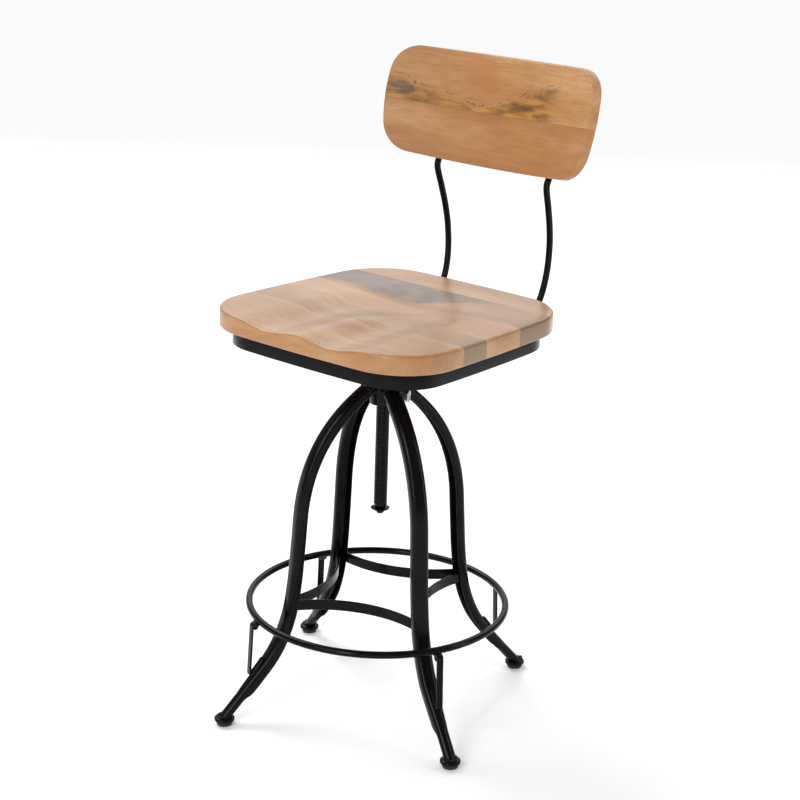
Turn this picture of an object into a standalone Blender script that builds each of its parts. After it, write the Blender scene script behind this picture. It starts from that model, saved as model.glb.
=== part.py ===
"""Screw-lift bar stool with a wooden seat, a wooden backrest and a ring footrest.

The stool stands on the floor plane z = 0 and the front of the seat is towards -Y. The origin
is under the middle of its plan, so the spindle's axis, which every object's origin lies on,
stands at STAND. Each piece is worked out from that axis, in metres, as one closed mesh.
"""

from math import atan2, cos, pi, radians, sin, sqrt, tan

import bpy
import bmesh
from mathutils import Matrix, Vector

MM = 0.001

# ---------------------------------------------------------------- driving dimensions
GAP = 0.3 * MM                      # clearance between pieces that touch

# seat board
SEAT_WIDTH = 400 * MM
SEAT_DEPTH = 398 * MM
SEAT_THICKNESS = 28 * MM
SEAT_RIM_HEIGHT = 613 * MM          # rim above the floor with the screw right down
SEAT_CORNER = 92 * MM
SEAT_BULGE = 2 * MM
SEAT_TAPER = 0.04                   # the front is wider than the back by this share each way
SEAT_SETBACK = 10 * MM              # seat centre behind the spindle
SEAT_EDGE = 5 * MM                  # rounding of the upper edge
SEAT_LOWER_EDGE = 2.5 * MM
TROUGH_DEPTH = 8 * MM               # thigh hollows at the front edge
TROUGH_OFFSET = 58 * MM
TROUGH_WIDTH = 44 * MM
BOWL_DEPTH = 10 * MM
BOWL_RADIUS = 118 * MM
BOWL_BEHIND_CENTRE = 28 * MM

# steel frame under the seat
BAND_INSET = 18 * MM
BAND_HEIGHT = 25 * MM
BAND_WALL = 3 * MM
STRAP_WIDTH = 30 * MM
STRAP_THICKNESS = 4 * MM
STRAP_SPACING = 80 * MM
PLATE_SIDE = 120 * MM
PLATE_THICKNESS = 5 * MM
SEAT_SCREW_SPACING = 250 * MM
SCREW_SHANK = 4.5 * MM
SCREW_HEAD = 9 * MM
SCREW_HEAD_HEIGHT = 2.6 * MM
SCREW_DEPTH = 14 * MM

# lifting screw
SPINDLE_DIAMETER = 20 * MM
THREAD_PITCH = 4 * MM
THREAD_DEPTH = 1.5 * MM
LIFT_TURNS = 40
BOSS_DIAMETER = 32 * MM
STOP_WASHER_DIAMETER = 28 * MM
STOP_WASHER_THICKNESS = 3 * MM
STOP_WASHER_DISH = 1.5 * MM
STOP_BOLT_SHANK = 6 * MM
STOP_BOLT_ACROSS_FLATS = 10 * MM
STOP_BOLT_HEAD = 8 * MM
STOP_BOLT_DEPTH = 18 * MM
SCREW_CLEARANCE = 0.5 * MM          # between the thread and every bore it turns in

# hub
HUB_DIAMETER = 40 * MM
HUB_LENGTH = 56 * MM
HUB_BOTTOM = 471 * MM
LOCK_BOLT_HEIGHT = 486 * MM
LOCK_BOLT_SHANK = 10 * MM
LOCK_BOLT_ACROSS_FLATS = 17 * MM
LOCK_BOLT_HEAD = 7 * MM
LOCK_BOLT_STAND_OFF = 13 * MM       # bare shank between the hub and the head

# legs: a pressed channel, open towards the spindle, that closes to a round toe
BASE_YAW = radians(22)              # the base as it stands under the seat
LEG_PLACES = ("back_right", "back_left", "front_left", "front_right")
BRACE_PLACES = ("back", "left", "front", "right")     # each follows its leg, anticlockwise
LEG_WIDTH = 25 * MM
LEG_DEPTH = 16 * MM
LEG_WALL = 2.5 * MM
LEG_CORNER = 8 * MM
TOE_WIDTH = 18 * MM
TOE_DEPTH = 15 * MM
CHANNEL_END_HEIGHT = 50 * MM        # the channel's flanges run out here
FLANGE_RUN_OUT = 13 * MM
NARROWING_START = 95 * MM           # the leg narrows to the toe from here down
COPE_CLEARANCE = 0.04 * LEG_WIDTH   # leg end to hub, room for the weld
LEG_LINE = [(0, 512), (40, 485), (74, 453), (99, 418), (117, 378), (128, 332), (133, 272),
            (138, 212), (147, 158), (166, 110), (197, 67), (243, 15)]   # radius, height in mm

# feet
FOOT_RADIUS = 247 * MM
COLLAR_DIAMETER = 30 * MM
COLLAR_HEIGHT = 6.5 * MM
GLIDE_DIAMETER = 23 * MM
GLIDE_HEIGHT = 6 * MM
GLIDE_STEM = 8 * MM
FOOT_SIDES = 20

# braces between the legs
BRACE_TOP = 183 * MM
BRACE_HEIGHT = 16 * MM
BRACE_THICKNESS = 3 * MM
BRACE_MIDDLE = 75 * MM              # spindle to the middle of a brace
BRACE_ENTRY = 8 * MM                # from a leg's middle plane where the brace enters it
BRACE_END_CLEARANCE = 2 * MM        # end of a brace short of the web

# footrest
RING_RADIUS = 193 * MM
RING_BAR = 10.6 * MM
RING_HEIGHT = 158 * MM
RING_STEPS = 56
RING_BAR_SIDES = 8
BRACKET_WIDTH = 10 * MM
BRACKET_THICKNESS = 3 * MM
BRACKET_EYE = 10.6 * MM             # outside of the rolled end
BRACKET_ROLL = radians(285)
BRACKET_FOLD_RADIUS = RING_RADIUS + 13 * MM     # where the strap folds back on to the leg
BRACKET_FOLD = 2.2 * MM             # bend radius of the fold
BRACKET_TAB = 32 * MM

# backrest and its rods
BACK_WIDTH = 396 * MM               # along the curve
BACK_HEIGHT = 167 * MM
BACK_THICKNESS = 18 * MM
BACK_CORNER = 48 * MM
BACK_BULGE = 2.5 * MM
BACK_TAPER = 0.015                  # the top is wider by this share each way
BACK_BEND = 490 * MM                # radius of the curve across the back
BACK_LEAN = radians(13.7)
BACK_CENTRE_HEIGHT = 868 * MM
BACK_CENTRE_BEHIND = 250 * MM
BACK_EDGE = 4 * MM
ROD_DIAMETER = 10 * MM
ROD_SPACING = 184 * MM              # at the seat
ROD_SPLAY = 0.061                   # sideways per unit of height
ROD_OVERLAP = 118 * MM              # length of rod behind the backrest
BACK_PLATE_WIDTH = 26 * MM
BACK_PLATE_HEIGHT = 92 * MM
BACK_PLATE_THICKNESS = 3 * MM
BACK_SCREW_SPACING = 66 * MM
BACK_SCREW_DEPTH = 12 * MM
LUG_WIDTH = 58 * MM
LUG_HEIGHT = 20 * MM
LUG_THICKNESS = 4 * MM
LUG_BOLT_SPACING = 40 * MM
LUG_BOLT_SHANK = 6 * MM
LUG_BOLT_ACROSS_FLATS = 10 * MM
LUG_BOLT_HEAD = 4 * MM
LUG_BOLT_SPARE = 12 * MM            # bolt past its nut, for the curve of the band
LUG_NUT_HEIGHT = 5 * MM

# ---------------------------------------------------------------- derived sizes
SEAT_UNDERSIDE = SEAT_RIM_HEIGHT - SEAT_THICKNESS
BAND_TOP = SEAT_UNDERSIDE - GAP
BAND_BOTTOM = BAND_TOP - BAND_HEIGHT
STRAP_BOTTOM = BAND_TOP - STRAP_THICKNESS
PLATE_TOP = STRAP_BOTTOM - GAP
PLATE_BOTTOM = PLATE_TOP - PLATE_THICKNESS
HUB_TOP = HUB_BOTTOM + HUB_LENGTH
SPINDLE_TOP = PLATE_BOTTOM - GAP
BOSS_BOTTOM = HUB_TOP + SCREW_CLEARANCE
BORE_RADIUS = SPINDLE_DIAMETER / 2 + SCREW_CLEARANCE
LIFT = LIFT_TURNS * THREAD_PITCH
STOP_WASHER_TOP = HUB_BOTTOM - SCREW_CLEARANCE - LIFT
SPINDLE_BOTTOM = STOP_WASHER_TOP + GAP
HUB_RADIUS = HUB_DIAMETER / 2
COLLAR_BOTTOM = GLIDE_HEIGHT + GAP
COLLAR_TOP = COLLAR_BOTTOM + COLLAR_HEIGHT
ROD_RADIUS = ROD_DIAMETER / 2
FOOT_REACH = (FOOT_RADIUS * max(abs(sin(BASE_YAW + pi / 4)), abs(cos(BASE_YAW + pi / 4)))
              + COLLAR_DIAMETER / 2)
BACK_REACH = BACK_CENTRE_BEHIND + BACK_THICKNESS / 2 * cos(BACK_LEAN) + BACK_HEIGHT / 2 * sin(BACK_LEAN)
STAND = Vector((0.0, (FOOT_REACH - BACK_REACH) / 2, 0.0))


# ---------------------------------------------------------------- mesh helpers
def clear_scene() -> None:
    """Remove everything the startup file put in the scene."""
    for item in list(bpy.data.objects):
        bpy.data.objects.remove(item, do_unlink=True)


def material(name: str, colour: tuple, metallic: float, roughness: float):
    """Return a Principled material with the given base colour."""
    made = bpy.data.materials.new(name)
    made.use_nodes = True
    shader = made.node_tree.nodes["Principled BSDF"]
    shader.inputs["Base Color"].default_value = (*colour, 1.0)
    shader.inputs["Metallic"].default_value = metallic
    shader.inputs["Roughness"].default_value = roughness
    return made


def add_object(name: str, mesh: bmesh.types.BMesh, finish, origin: Vector = Vector()):
    """Turn a bmesh measured from the spindle's axis into an object with its origin there."""
    bmesh.ops.recalc_face_normals(mesh, faces=mesh.faces)
    bmesh.ops.translate(mesh, verts=mesh.verts, vec=-origin)
    data = bpy.data.meshes.new(name)
    mesh.to_mesh(data)
    mesh.free()
    made = bpy.data.objects.new(name, data)
    made.location = STAND + origin
    data.materials.append(finish)
    bpy.context.scene.collection.objects.link(made)
    return made


def loft(rings: list, closed: bool = False, folded: bool = False) -> bmesh.types.BMesh:
    """Skin rings of points that all have the same count; an open loft gets end caps.

    The rings of a folded loft run out along one face of a wall and back along the other, so
    its caps are strips from face to face.
    """
    mesh = bmesh.new()
    rows = [[mesh.verts.new(point) for point in ring] for ring in rings]
    count = len(rows[0])
    pairs = list(zip(rows, rows[1:] + rows[:1])) if closed else list(zip(rows, rows[1:]))
    for near, far in pairs:
        for i in range(count):
            j = (i + 1) % count
            mesh.faces.new((near[i], near[j], far[j], far[i]))
    if closed:
        return mesh
    if folded:
        for row in (rows[0], rows[-1]):
            for i in range(count // 2 - 1):
                mesh.faces.new((row[i], row[i + 1], row[count - 2 - i], row[count - 1 - i]))
    else:
        mesh.faces.new(rows[0][::-1])
        mesh.faces.new(rows[-1])
    return mesh


def lathe(profile: list, segments: int, frame: Matrix = Matrix()) -> bmesh.types.BMesh:
    """Turn a closed (radius, height) loop about the local Z axis.

    A loop that touches the axis has its first and last points there.
    """
    mesh = bmesh.new()
    solid = profile[0][0] == 0.0
    body = profile[1:-1] if solid else profile
    columns = []
    for k in range(segments):
        turn = 2 * pi * k / segments
        columns.append([mesh.verts.new(frame @ Vector((r * cos(turn), r * sin(turn), z)))
                        for r, z in body])
    for near, far in zip(columns, columns[1:] + columns[:1]):
        steps = range(len(body) - 1) if solid else range(len(body))
        for i in steps:
            j = (i + 1) % len(body)
            mesh.faces.new((near[i], far[i], far[j], near[j]))
    if solid:
        mesh.faces.new([column[0] for column in columns][::-1])
        mesh.faces.new([column[-1] for column in columns])
    return mesh


def block(centre: Vector, size: Vector) -> bmesh.types.BMesh:
    """Return an axis-aligned box."""
    mesh = bmesh.new()
    bmesh.ops.create_cube(mesh, size=1.0, matrix=Matrix.Translation(centre) @ Matrix.Diagonal((*size, 1.0)))
    return mesh


def along(direction: Vector, origin: Vector) -> Matrix:
    """Return a frame at `origin` whose Z axis is `direction`."""
    return Matrix.Translation(origin) @ direction.to_track_quat("Z", "Y").to_matrix().to_4x4()


def polygon(sides: int, radius: float, height: float, turn: float = 0.0) -> list:
    """Return the corners of a regular polygon at one height."""
    return [Vector((radius * cos(turn + 2 * pi * k / sides),
                    radius * sin(turn + 2 * pi * k / sides), height)) for k in range(sides)]


def outside_radius(inside: float, sides: int) -> float:
    """Corner radius of a polygon whose flats stand at `inside`."""
    return inside / cos(pi / sides)


def bolt(shank: float, length: float, across_flats: float, head: float, frame: Matrix):
    """Hex bolt: the head sits on local z = 0 and rises, the shank runs down from it."""
    sides = 12
    hexagon = outside_radius(across_flats / 2, 6)
    chamfer = 0.12 * across_flats
    rings = [polygon(sides, shank / 2 - 0.5 * MM, -length), polygon(sides, shank / 2, -length + 0.8 * MM),
             polygon(sides, shank / 2, 0.0)]
    for shrink, height in ((0.0, 0.0), (0.0, head - chamfer / 2), (chamfer, head)):
        corners = polygon(6, hexagon - shrink, height)
        ring = []
        for near, far in zip(corners, corners[1:] + corners[:1]):
            ring += [near, (near + far) / 2]
        rings.append(ring)
    return loft([[frame @ point for point in ring] for ring in rings])


def nut(bore: float, across_flats: float, height: float, frame: Matrix):
    """Hex nut that stands on local z = 0."""
    hexagon = outside_radius(across_flats / 2, 6)
    hole = outside_radius(bore, 12)
    outer = []
    corners = polygon(6, hexagon, 0.0)
    for near, far in zip(corners, corners[1:] + corners[:1]):
        outer += [near, (near + far) / 2]
    inner = polygon(12, hole, 0.0)
    up = Vector((0, 0, height))
    rings = [outer, [p + up for p in outer], [p + up for p in inner], inner]
    return loft([[frame @ point for point in ring] for ring in rings], closed=True)


def smooth_line(points: list, steps: int) -> list:
    """Return evenly spaced points on a Catmull-Rom curve through `points`."""
    ends = [2 * points[0] - points[1]] + points + [2 * points[-1] - points[-2]]
    fine = []
    for a, b, c, d in zip(ends, ends[1:], ends[2:], ends[3:]):
        for k in range(16):
            t = k / 16
            fine.append(0.5 * (2 * b + (c - a) * t + (2 * a - 5 * b + 4 * c - d) * t * t
                               + (3 * b - a - 3 * c + d) * t ** 3))
    fine.append(points[-1])
    lengths = [0.0]
    for near, far in zip(fine, fine[1:]):
        lengths.append(lengths[-1] + (far - near).length)
    made, at = [], 0
    for k in range(steps + 1):
        want = lengths[-1] * k / steps
        while at < len(fine) - 2 and lengths[at + 1] < want:
            at += 1
        share = (want - lengths[at]) / (lengths[at + 1] - lengths[at])
        made.append(fine[at].lerp(fine[at + 1], share))
    return made


def tangents(line: list) -> list:
    """Return the unit direction of a polyline at each of its points."""
    first, last = line[1] - line[0], line[-1] - line[-2]
    inner = [far - near for near, far in zip(line, line[2:])]
    return [step.normalized() for step in [first] + inner + [last]]


def drill(target, name: str, cutter: bmesh.types.BMesh) -> None:
    """Cut a closed mesh out of an object with a live Boolean."""
    tool = add_object(name, cutter, target.data.materials[0])
    tool.hide_render = True
    tool.display_type = "WIRE"
    cut = target.modifiers.new(name, "BOOLEAN")
    cut.operation = "DIFFERENCE"
    cut.solver = "EXACT"
    cut.object = tool


def hole(radius: float, length: float, frame: Matrix, sides: int = 12) -> bmesh.types.BMesh:
    """Return a drill: a prism centred on the frame's origin along its Z axis."""
    corner = outside_radius(radius, sides)
    return loft([[frame @ p for p in polygon(sides, corner, z)] for z in (-length / 2, length / 2)])


# ---------------------------------------------------------------- outlines
def rounded_outline(width: float, depth: float, corner: float, bulge: float, per_part: int) -> list:
    """Return a rectangle with bulged sides and tangent round corners, anticlockwise from +X."""
    cx, cy = width / 2 - corner - bulge, depth / 2 - corner - bulge

    def side(half: float) -> tuple:
        radius = (half * half + bulge * bulge) / (2 * bulge)
        return radius, atan2(half, radius - bulge)

    rx, ax = side(cy)
    ry, ay = side(cx)
    half = []
    for k in range(per_part):
        turn = -ax + 2 * ax * k / per_part
        half.append(Vector((width / 2 - corner - rx + (rx + corner) * cos(turn),
                            (rx + corner) * sin(turn))))
    for k in range(per_part):
        turn = ax + (pi / 2 - ay - ax) * k / per_part
        half.append(Vector((cx + corner * cos(turn), cy + corner * sin(turn))))
    for k in range(per_part):
        turn = pi / 2 - ay + 2 * ay * k / per_part
        half.append(Vector(((ry + corner) * cos(turn),
                            depth / 2 - corner - ry + (ry + corner) * sin(turn))))
    for k in range(per_part):
        turn = pi / 2 + ay + (pi / 2 - ax - ay) * k / per_part
        half.append(Vector((-cx + corner * cos(turn), cy + corner * sin(turn))))
    return half + [-point for point in half]


def seat_outline(inset: float, per_part: int = 6) -> list:
    """Return the seat's plan, wider at the front, moved in by `inset`."""
    plain = rounded_outline(SEAT_WIDTH - 2 * inset, SEAT_DEPTH - 2 * inset, SEAT_CORNER - inset,
                            SEAT_BULGE, per_part)
    return [Vector((p.x * (1 - SEAT_TAPER * p.y / (SEAT_DEPTH / 2)), p.y + SEAT_SETBACK))
            for p in plain]


def bump(distance: float) -> float:
    """Return a smooth hump: 1 at zero, 0 from one outwards."""
    return (1 + cos(pi * min(1.0, abs(distance)))) / 2


def seat_hollow(x: float, y: float) -> float:
    """Return how far the carved top lies below the rim."""
    behind = y - SEAT_SETBACK - BOWL_BEHIND_CENTRE
    bowl = bump(sqrt((x / 1.25) ** 2 + behind ** 2) / BOWL_RADIUS)
    forward = min(1.0, max(0.0, (SEAT_SETBACK + 60 * MM - y) / (110 * MM)))
    forward = forward * forward * (3 - 2 * forward)
    troughs = bump((x - TROUGH_OFFSET) / TROUGH_WIDTH / 1.5) + bump((x + TROUGH_OFFSET) / TROUGH_WIDTH / 1.5)
    return max(BOWL_DEPTH * bowl, min(1.0, troughs) * TROUGH_DEPTH * forward,
               (BOWL_DEPTH * bowl + TROUGH_DEPTH * min(1.0, troughs) * forward) * 0.8)


def seat_mesh() -> bmesh.types.BMesh:
    """Return the carved seat board."""
    centre = Vector((0.0, SEAT_SETBACK))

    def ring(inset: float, height: float) -> list:
        return [Vector((p.x, p.y, height)) for p in seat_outline(inset)]

    def carved(share: float) -> list:
        made = []
        for p in seat_outline(SEAT_EDGE):
            q = centre.lerp(p, share)
            made.append(Vector((q.x, q.y, SEAT_RIM_HEIGHT - seat_hollow(q.x, q.y))))
        return made

    edge = seat_outline(SEAT_EDGE)
    rings = [[Vector((centre.lerp(p, 0.12).x, centre.lerp(p, 0.12).y, SEAT_UNDERSIDE)) for p in edge],
             ring(SEAT_LOWER_EDGE, SEAT_UNDERSIDE), ring(0.0, SEAT_UNDERSIDE + SEAT_LOWER_EDGE)]
    for turn in (0, 30, 60):
        drop = SEAT_EDGE * (1 - sin(radians(turn)))
        made = []
        for p, q in zip(seat_outline(SEAT_EDGE * (1 - cos(radians(turn)))), edge):
            made.append(Vector((p.x, p.y, SEAT_RIM_HEIGHT - seat_hollow(q.x, q.y) - drop)))
        rings.append(made)
    rings += [carved(share) for share in (1.0, 0.92, 0.81, 0.68, 0.54, 0.4, 0.25, 0.1)]
    return loft(rings)


def back_frame(across: float, up: float, depth: float) -> Vector:
    """Place a point of the backrest: along its curve, up its height, behind its middle."""
    turn = across / BACK_BEND
    radius = BACK_BEND + depth
    local = Vector((radius * sin(turn), radius * cos(turn) - BACK_BEND, up))
    leaned = Matrix.Rotation(-BACK_LEAN, 3, "X") @ local
    return leaned + Vector((0.0, BACK_CENTRE_BEHIND, BACK_CENTRE_HEIGHT))


def backrest_mesh() -> bmesh.types.BMesh:
    """Return the bent backrest board with rounded edges."""
    half = BACK_THICKNESS / 2

    def outline(inset: float) -> list:
        plain = rounded_outline(BACK_WIDTH - 2 * inset, BACK_HEIGHT - 2 * inset,
                                BACK_CORNER - inset, BACK_BULGE, 6)
        return [Vector((p.x * (1 + BACK_TAPER * p.y / (BACK_HEIGHT / 2)), p.y)) for p in plain]

    def ring(inset: float, depth: float, share: float = 1.0) -> list:
        return [back_frame(p.x * share, p.y * share, depth) for p in outline(inset)]

    rings = [ring(BACK_EDGE, -half, share) for share in (0.1, 0.4, 0.7, 1.0)]
    rings.append(ring(0.3 * BACK_EDGE, -half + 0.3 * BACK_EDGE))
    rings.append(ring(0.0, -half + BACK_EDGE))
    rings.append(ring(0.0, half - BACK_EDGE))
    rings.append(ring(0.3 * BACK_EDGE, half - 0.3 * BACK_EDGE))
    rings += [ring(BACK_EDGE, half, share) for share in (1.0, 0.7, 0.4, 0.1)]
    return loft(rings)


# ---------------------------------------------------------------- seat frame
def band_mesh() -> bmesh.types.BMesh:
    """Return the flat steel band that runs round under the seat."""
    outer, inner = seat_outline(BAND_INSET), seat_outline(BAND_INSET + BAND_WALL)
    rings = [[Vector((p.x, p.y, BAND_BOTTOM)) for p in outer], [Vector((p.x, p.y, BAND_TOP)) for p in outer],
             [Vector((p.x, p.y, BAND_TOP)) for p in inner], [Vector((p.x, p.y, BAND_BOTTOM)) for p in inner]]
    return loft(rings, closed=True)


def band_half_width(y: float) -> float:
    """Return the half width inside the band at one y, with the fitting gap taken off."""
    inner = seat_outline(BAND_INSET + BAND_WALL)
    for near, far in zip(inner, inner[1:] + inner[:1]):
        if near.x > 0 and near.y <= y < far.y:
            return near.lerp(far, (y - near.y) / (far.y - near.y)).x - GAP
    return 0.0


def strap_mesh(y: float) -> bmesh.types.BMesh:
    """Return one cross strap that fits across the band."""
    rings = []
    for edge in (y - STRAP_WIDTH / 2, y + STRAP_WIDTH / 2):
        reach = min(band_half_width(edge), band_half_width(y))
        rings.append([Vector((-reach, edge, STRAP_BOTTOM)), Vector((reach, edge, STRAP_BOTTOM)),
                      Vector((reach, edge, BAND_TOP)), Vector((-reach, edge, BAND_TOP))])
    return loft(rings)


def wood_screw(frame: Matrix, depth: float) -> bmesh.types.BMesh:
    """Pan-head screw: the head hangs below local z = 0 and the shank rises from it."""
    head, shank = SCREW_HEAD / 2, SCREW_SHANK / 2
    low = -SCREW_HEAD_HEIGHT
    profile = [(0.0, low), (0.55 * head, low), (0.9 * head, 0.6 * low), (head, 0.0),
               (shank, 0.0), (shank, depth - 2 * shank), (0.25 * shank, depth), (0.0, depth)]
    return lathe(profile, 12, frame)


# ---------------------------------------------------------------- lifting screw
def spindle_mesh() -> bmesh.types.BMesh:
    """Return the spindle: a helical V thread, a plain top and a blind hole for the stop bolt."""
    sides = 12
    crest, root = SPINDLE_DIAMETER / 2, SPINDLE_DIAMETER / 2 - THREAD_DEPTH
    thread_bottom = SPINDLE_BOTTOM + THREAD_PITCH / 2
    turns = int((HUB_TOP - thread_bottom) / THREAD_PITCH) - 1
    rows = 2 * turns
    mesh = bmesh.new()

    def ring(radius: float, height: float) -> list:
        return [mesh.verts.new(p) for p in polygon(sides, radius, height)]

    def band(near: list, far: list) -> None:
        for i in range(sides):
            j = (i + 1) % sides
            mesh.faces.new((near[i], near[j], far[j], far[i]))

    grid = []
    for i in range(rows + 1):
        radius = crest if i % 2 else root
        row = []
        for j in range(sides):
            turn = 2 * pi * j / sides
            height = thread_bottom + THREAD_PITCH * (i / 2 + j / sides)
            row.append(mesh.verts.new((radius * cos(turn), radius * sin(turn), height)))
        grid.append(row)
    for i in range(rows):
        for j in range(sides - 1):
            mesh.faces.new((grid[i][j], grid[i][j + 1], grid[i + 1][j + 1], grid[i + 1][j]))
        if i + 3 <= rows:
            mesh.faces.new((grid[i][-1], grid[i + 2][0], grid[i + 3][0], grid[i + 1][-1]))

    foot = ring(root, SPINDLE_BOTTOM)
    lip = ring(STOP_BOLT_SHANK / 2 + GAP * 1.2, SPINDLE_BOTTOM)
    pit = ring(STOP_BOLT_SHANK / 2 + GAP * 1.2, SPINDLE_BOTTOM + STOP_BOLT_DEPTH + 1.5 * MM)
    band(foot, lip)
    band(lip, pit)
    mesh.faces.new(pit)
    for j in range(sides - 1):
        mesh.faces.new((foot[j], foot[j + 1], grid[0][j + 1], grid[0][j]))
    mesh.faces.new((foot[-1], foot[0], grid[2][0], grid[0][-1]))
    mesh.faces.new((foot[0], grid[0][0], grid[1][0], grid[2][0]))

    neck = ring(crest, thread_bottom + THREAD_PITCH * (turns + 1.1))
    head = ring(crest, SPINDLE_TOP)
    for j in range(sides - 1):
        mesh.faces.new((grid[-1][j], grid[-1][j + 1], neck[j + 1], neck[j]))
    mesh.faces.new((grid[-1][-1], neck[0], neck[-1]))
    mesh.faces.new((grid[-1][0], neck[0], grid[-1][-1], grid[-2][-1]))
    mesh.faces.new((grid[-2][-1], grid[-3][-1], grid[-1][0]))
    band(neck, head)
    mesh.faces.new(head)
    return mesh


def tube(inside: float, outside: float, bottom: float, top: float, sides: int, edge: float = 0.0):
    """Return an upright tube about the Z axis with broken outer edges."""
    bore = outside_radius(inside, sides)
    profile = [(bore, bottom), (outside - edge, bottom), (outside, bottom + edge),
               (outside, top - edge), (outside - edge, top), (bore, top)]
    if edge == 0.0:
        profile = [(bore, bottom), (outside, bottom), (outside, top), (bore, top)]
    return lathe(profile, sides)


def stop_washer_mesh() -> bmesh.types.BMesh:
    """Return the dished washer under the spindle."""
    rim, bore = STOP_WASHER_DIAMETER / 2, outside_radius(STOP_BOLT_SHANK / 2 + GAP, 24)
    low = STOP_WASHER_TOP - STOP_WASHER_THICKNESS
    flat = STOP_BOLT_ACROSS_FLATS * 0.65
    profile = [(bore, low), (flat, low), (rim, low - STOP_WASHER_DISH),
               (rim, low - STOP_WASHER_DISH + 0.6 * STOP_WASHER_THICKNESS), (flat, STOP_WASHER_TOP),
               (bore, STOP_WASHER_TOP)]
    return lathe(profile, 24)


# ---------------------------------------------------------------- base
def base_turn(k: float) -> Matrix:
    """Return the rotation that carries the +X leg position to leg or brace number k."""
    return Matrix.Rotation(BASE_YAW + pi / 4 + k * 2 * pi / len(LEG_PLACES), 4, "Z")


def leg_line(steps: int) -> list:
    """Return the middle line of a leg as (radius, 0, height) points."""
    points = [Vector((r * MM, 0.0, z * MM)) for r, z in LEG_LINE]
    return smooth_line(points, steps)


def leg_radius(height: float) -> tuple:
    """Return the leg line's radius at a height and its slope, radius per height."""
    line = leg_line(120)
    for upper, lower in zip(line, line[1:]):
        if upper.z >= height > lower.z:
            slope = (upper.x - lower.x) / (upper.z - lower.z)
            return lower.x + slope * (height - lower.z), slope
    return line[-1].x, 0.0


def channel_section() -> list:
    """Return the channel as (sideways, outward) points, open at the inward side."""
    half, deep, wall, corner = LEG_WIDTH / 2, LEG_DEPTH / 2, LEG_WALL, LEG_CORNER

    def cap(w: float, top: float, radius: float, turns: tuple) -> list:
        return [(-w + radius - radius * cos(radians(a)), top - radius + radius * sin(radians(a)))
                for a in turns]

    turns = (0, 45, 90)
    outside = [(-half, -deep)] + cap(half, deep, corner, turns)
    inside = [(-half + wall, -deep)] + cap(half - wall, deep - wall, corner - wall, turns)
    return (outside + [(-t, o) for t, o in outside[::-1]]
            + [(-t, o) for t, o in inside] + inside[::-1])


def toe_section() -> list:
    """Return the round toe with one point for each point of the channel."""
    half, deep = TOE_WIDTH / 2, TOE_DEPTH / 2
    turns = [205, 173, 141, 109, 71, 39, 7, -25, -37, -51, -65, -79, -101, -115, -129, -143]
    outward = (LEG_DEPTH - TOE_DEPTH) / 2
    return [(half * cos(radians(a)), deep * sin(radians(a)) + outward) for a in turns]


def leg_mesh(k: int) -> bmesh.types.BMesh:
    """Return leg number k, coped to the hub at the top and cut level at the foot."""
    line = leg_line(26)
    channel, toe = channel_section(), toe_section()
    run_out = CHANNEL_END_HEIGHT - FLANGE_RUN_OUT
    rings = []
    for point, step in zip(line, tangents(line)):
        outward = Vector((-step.z, 0.0, step.x))
        share = min(1.0, max(0.0, (CHANNEL_END_HEIGHT - point.z) / (CHANNEL_END_HEIGHT - run_out)))
        narrowing = min(1.0, max(0.0, (NARROWING_START - point.z) / (NARROWING_START - run_out)))
        narrow = 1 - (1 - TOE_WIDTH / LEG_WIDTH) * narrowing
        section = [(a[0] * narrow + (b[0] - a[0] * narrow) * share, a[1] + (b[1] - a[1]) * share)
                   for a, b in zip(channel, toe)]
        rings.append([point + Vector((0.0, t, 0.0)) + outward * o for t, o in section])
    steps = tangents(line)
    rings = [ring for ring in rings if min(p.x for p in ring) > HUB_RADIUS + COPE_CLEARANCE
             and min(p.z for p in ring) > COLLAR_TOP + GAP]
    first, last = steps[1], steps[-1]
    hub = HUB_RADIUS + COPE_CLEARANCE
    coped = []
    for p in rings[0]:
        reach = sqrt(hub * hub - p.y * p.y)
        coped.append(p + first * ((reach - p.x) / first.x))
    floor = [p + last * ((COLLAR_TOP + GAP - p.z) / last.z) for p in rings[-1]]
    mesh = loft([coped] + rings + [floor], folded=True)
    bmesh.ops.transform(mesh, matrix=base_turn(k), verts=mesh.verts)
    return mesh


def brace_mesh(k: int) -> bmesh.types.BMesh:
    """Return the bowed flat strap between leg k and leg k + 1, welded inside both channels."""
    low, high = BRACE_TOP - BRACE_HEIGHT, BRACE_TOP
    middle = (low + high) / 2
    line_radius, slope = leg_radius(middle)
    mouth = line_radius - LEG_DEPTH / 2
    entry = Vector(((mouth - BRACE_ENTRY), (mouth + BRACE_ENTRY))) / sqrt(2)
    rise = entry.y - BRACE_MIDDLE
    bow = (entry.x ** 2 + rise ** 2) / (2 * rise)
    web = line_radius + LEG_DEPTH / 2 - LEG_WALL - BRACE_END_CLEARANCE

    def ring(turn: float, cut: bool) -> list:
        made = []
        for side, height in ((-1, low), (1, low), (1, high), (-1, high)):
            radius = bow - side * BRACE_THICKNESS / 2
            x = radius * sin(turn)
            y = BRACE_MIDDLE + bow - radius * cos(turn)
            if cut:
                reach = (abs(x) + y) / sqrt(2)
                limit = web + slope * (height - middle)
                forward = Vector((cos(turn), abs(sin(turn)))) * (limit - reach)
                forward /= (cos(turn) + abs(sin(turn))) / sqrt(2)
                x += forward.x if turn > 0 else -forward.x
                y += forward.y
            made.append(Vector((x, y, height)))
        return made

    last = atan2(entry.x, bow - rise) + 0.05
    turns = [last * k / 8 for k in range(-8, 9)]
    rings = [ring(turn, abs(turn) == last) for turn in turns]
    mesh = loft(rings)
    bmesh.ops.transform(mesh, matrix=Matrix.Rotation(-pi / 4, 4, "Z") @ base_turn(k), verts=mesh.verts)
    return mesh


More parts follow.
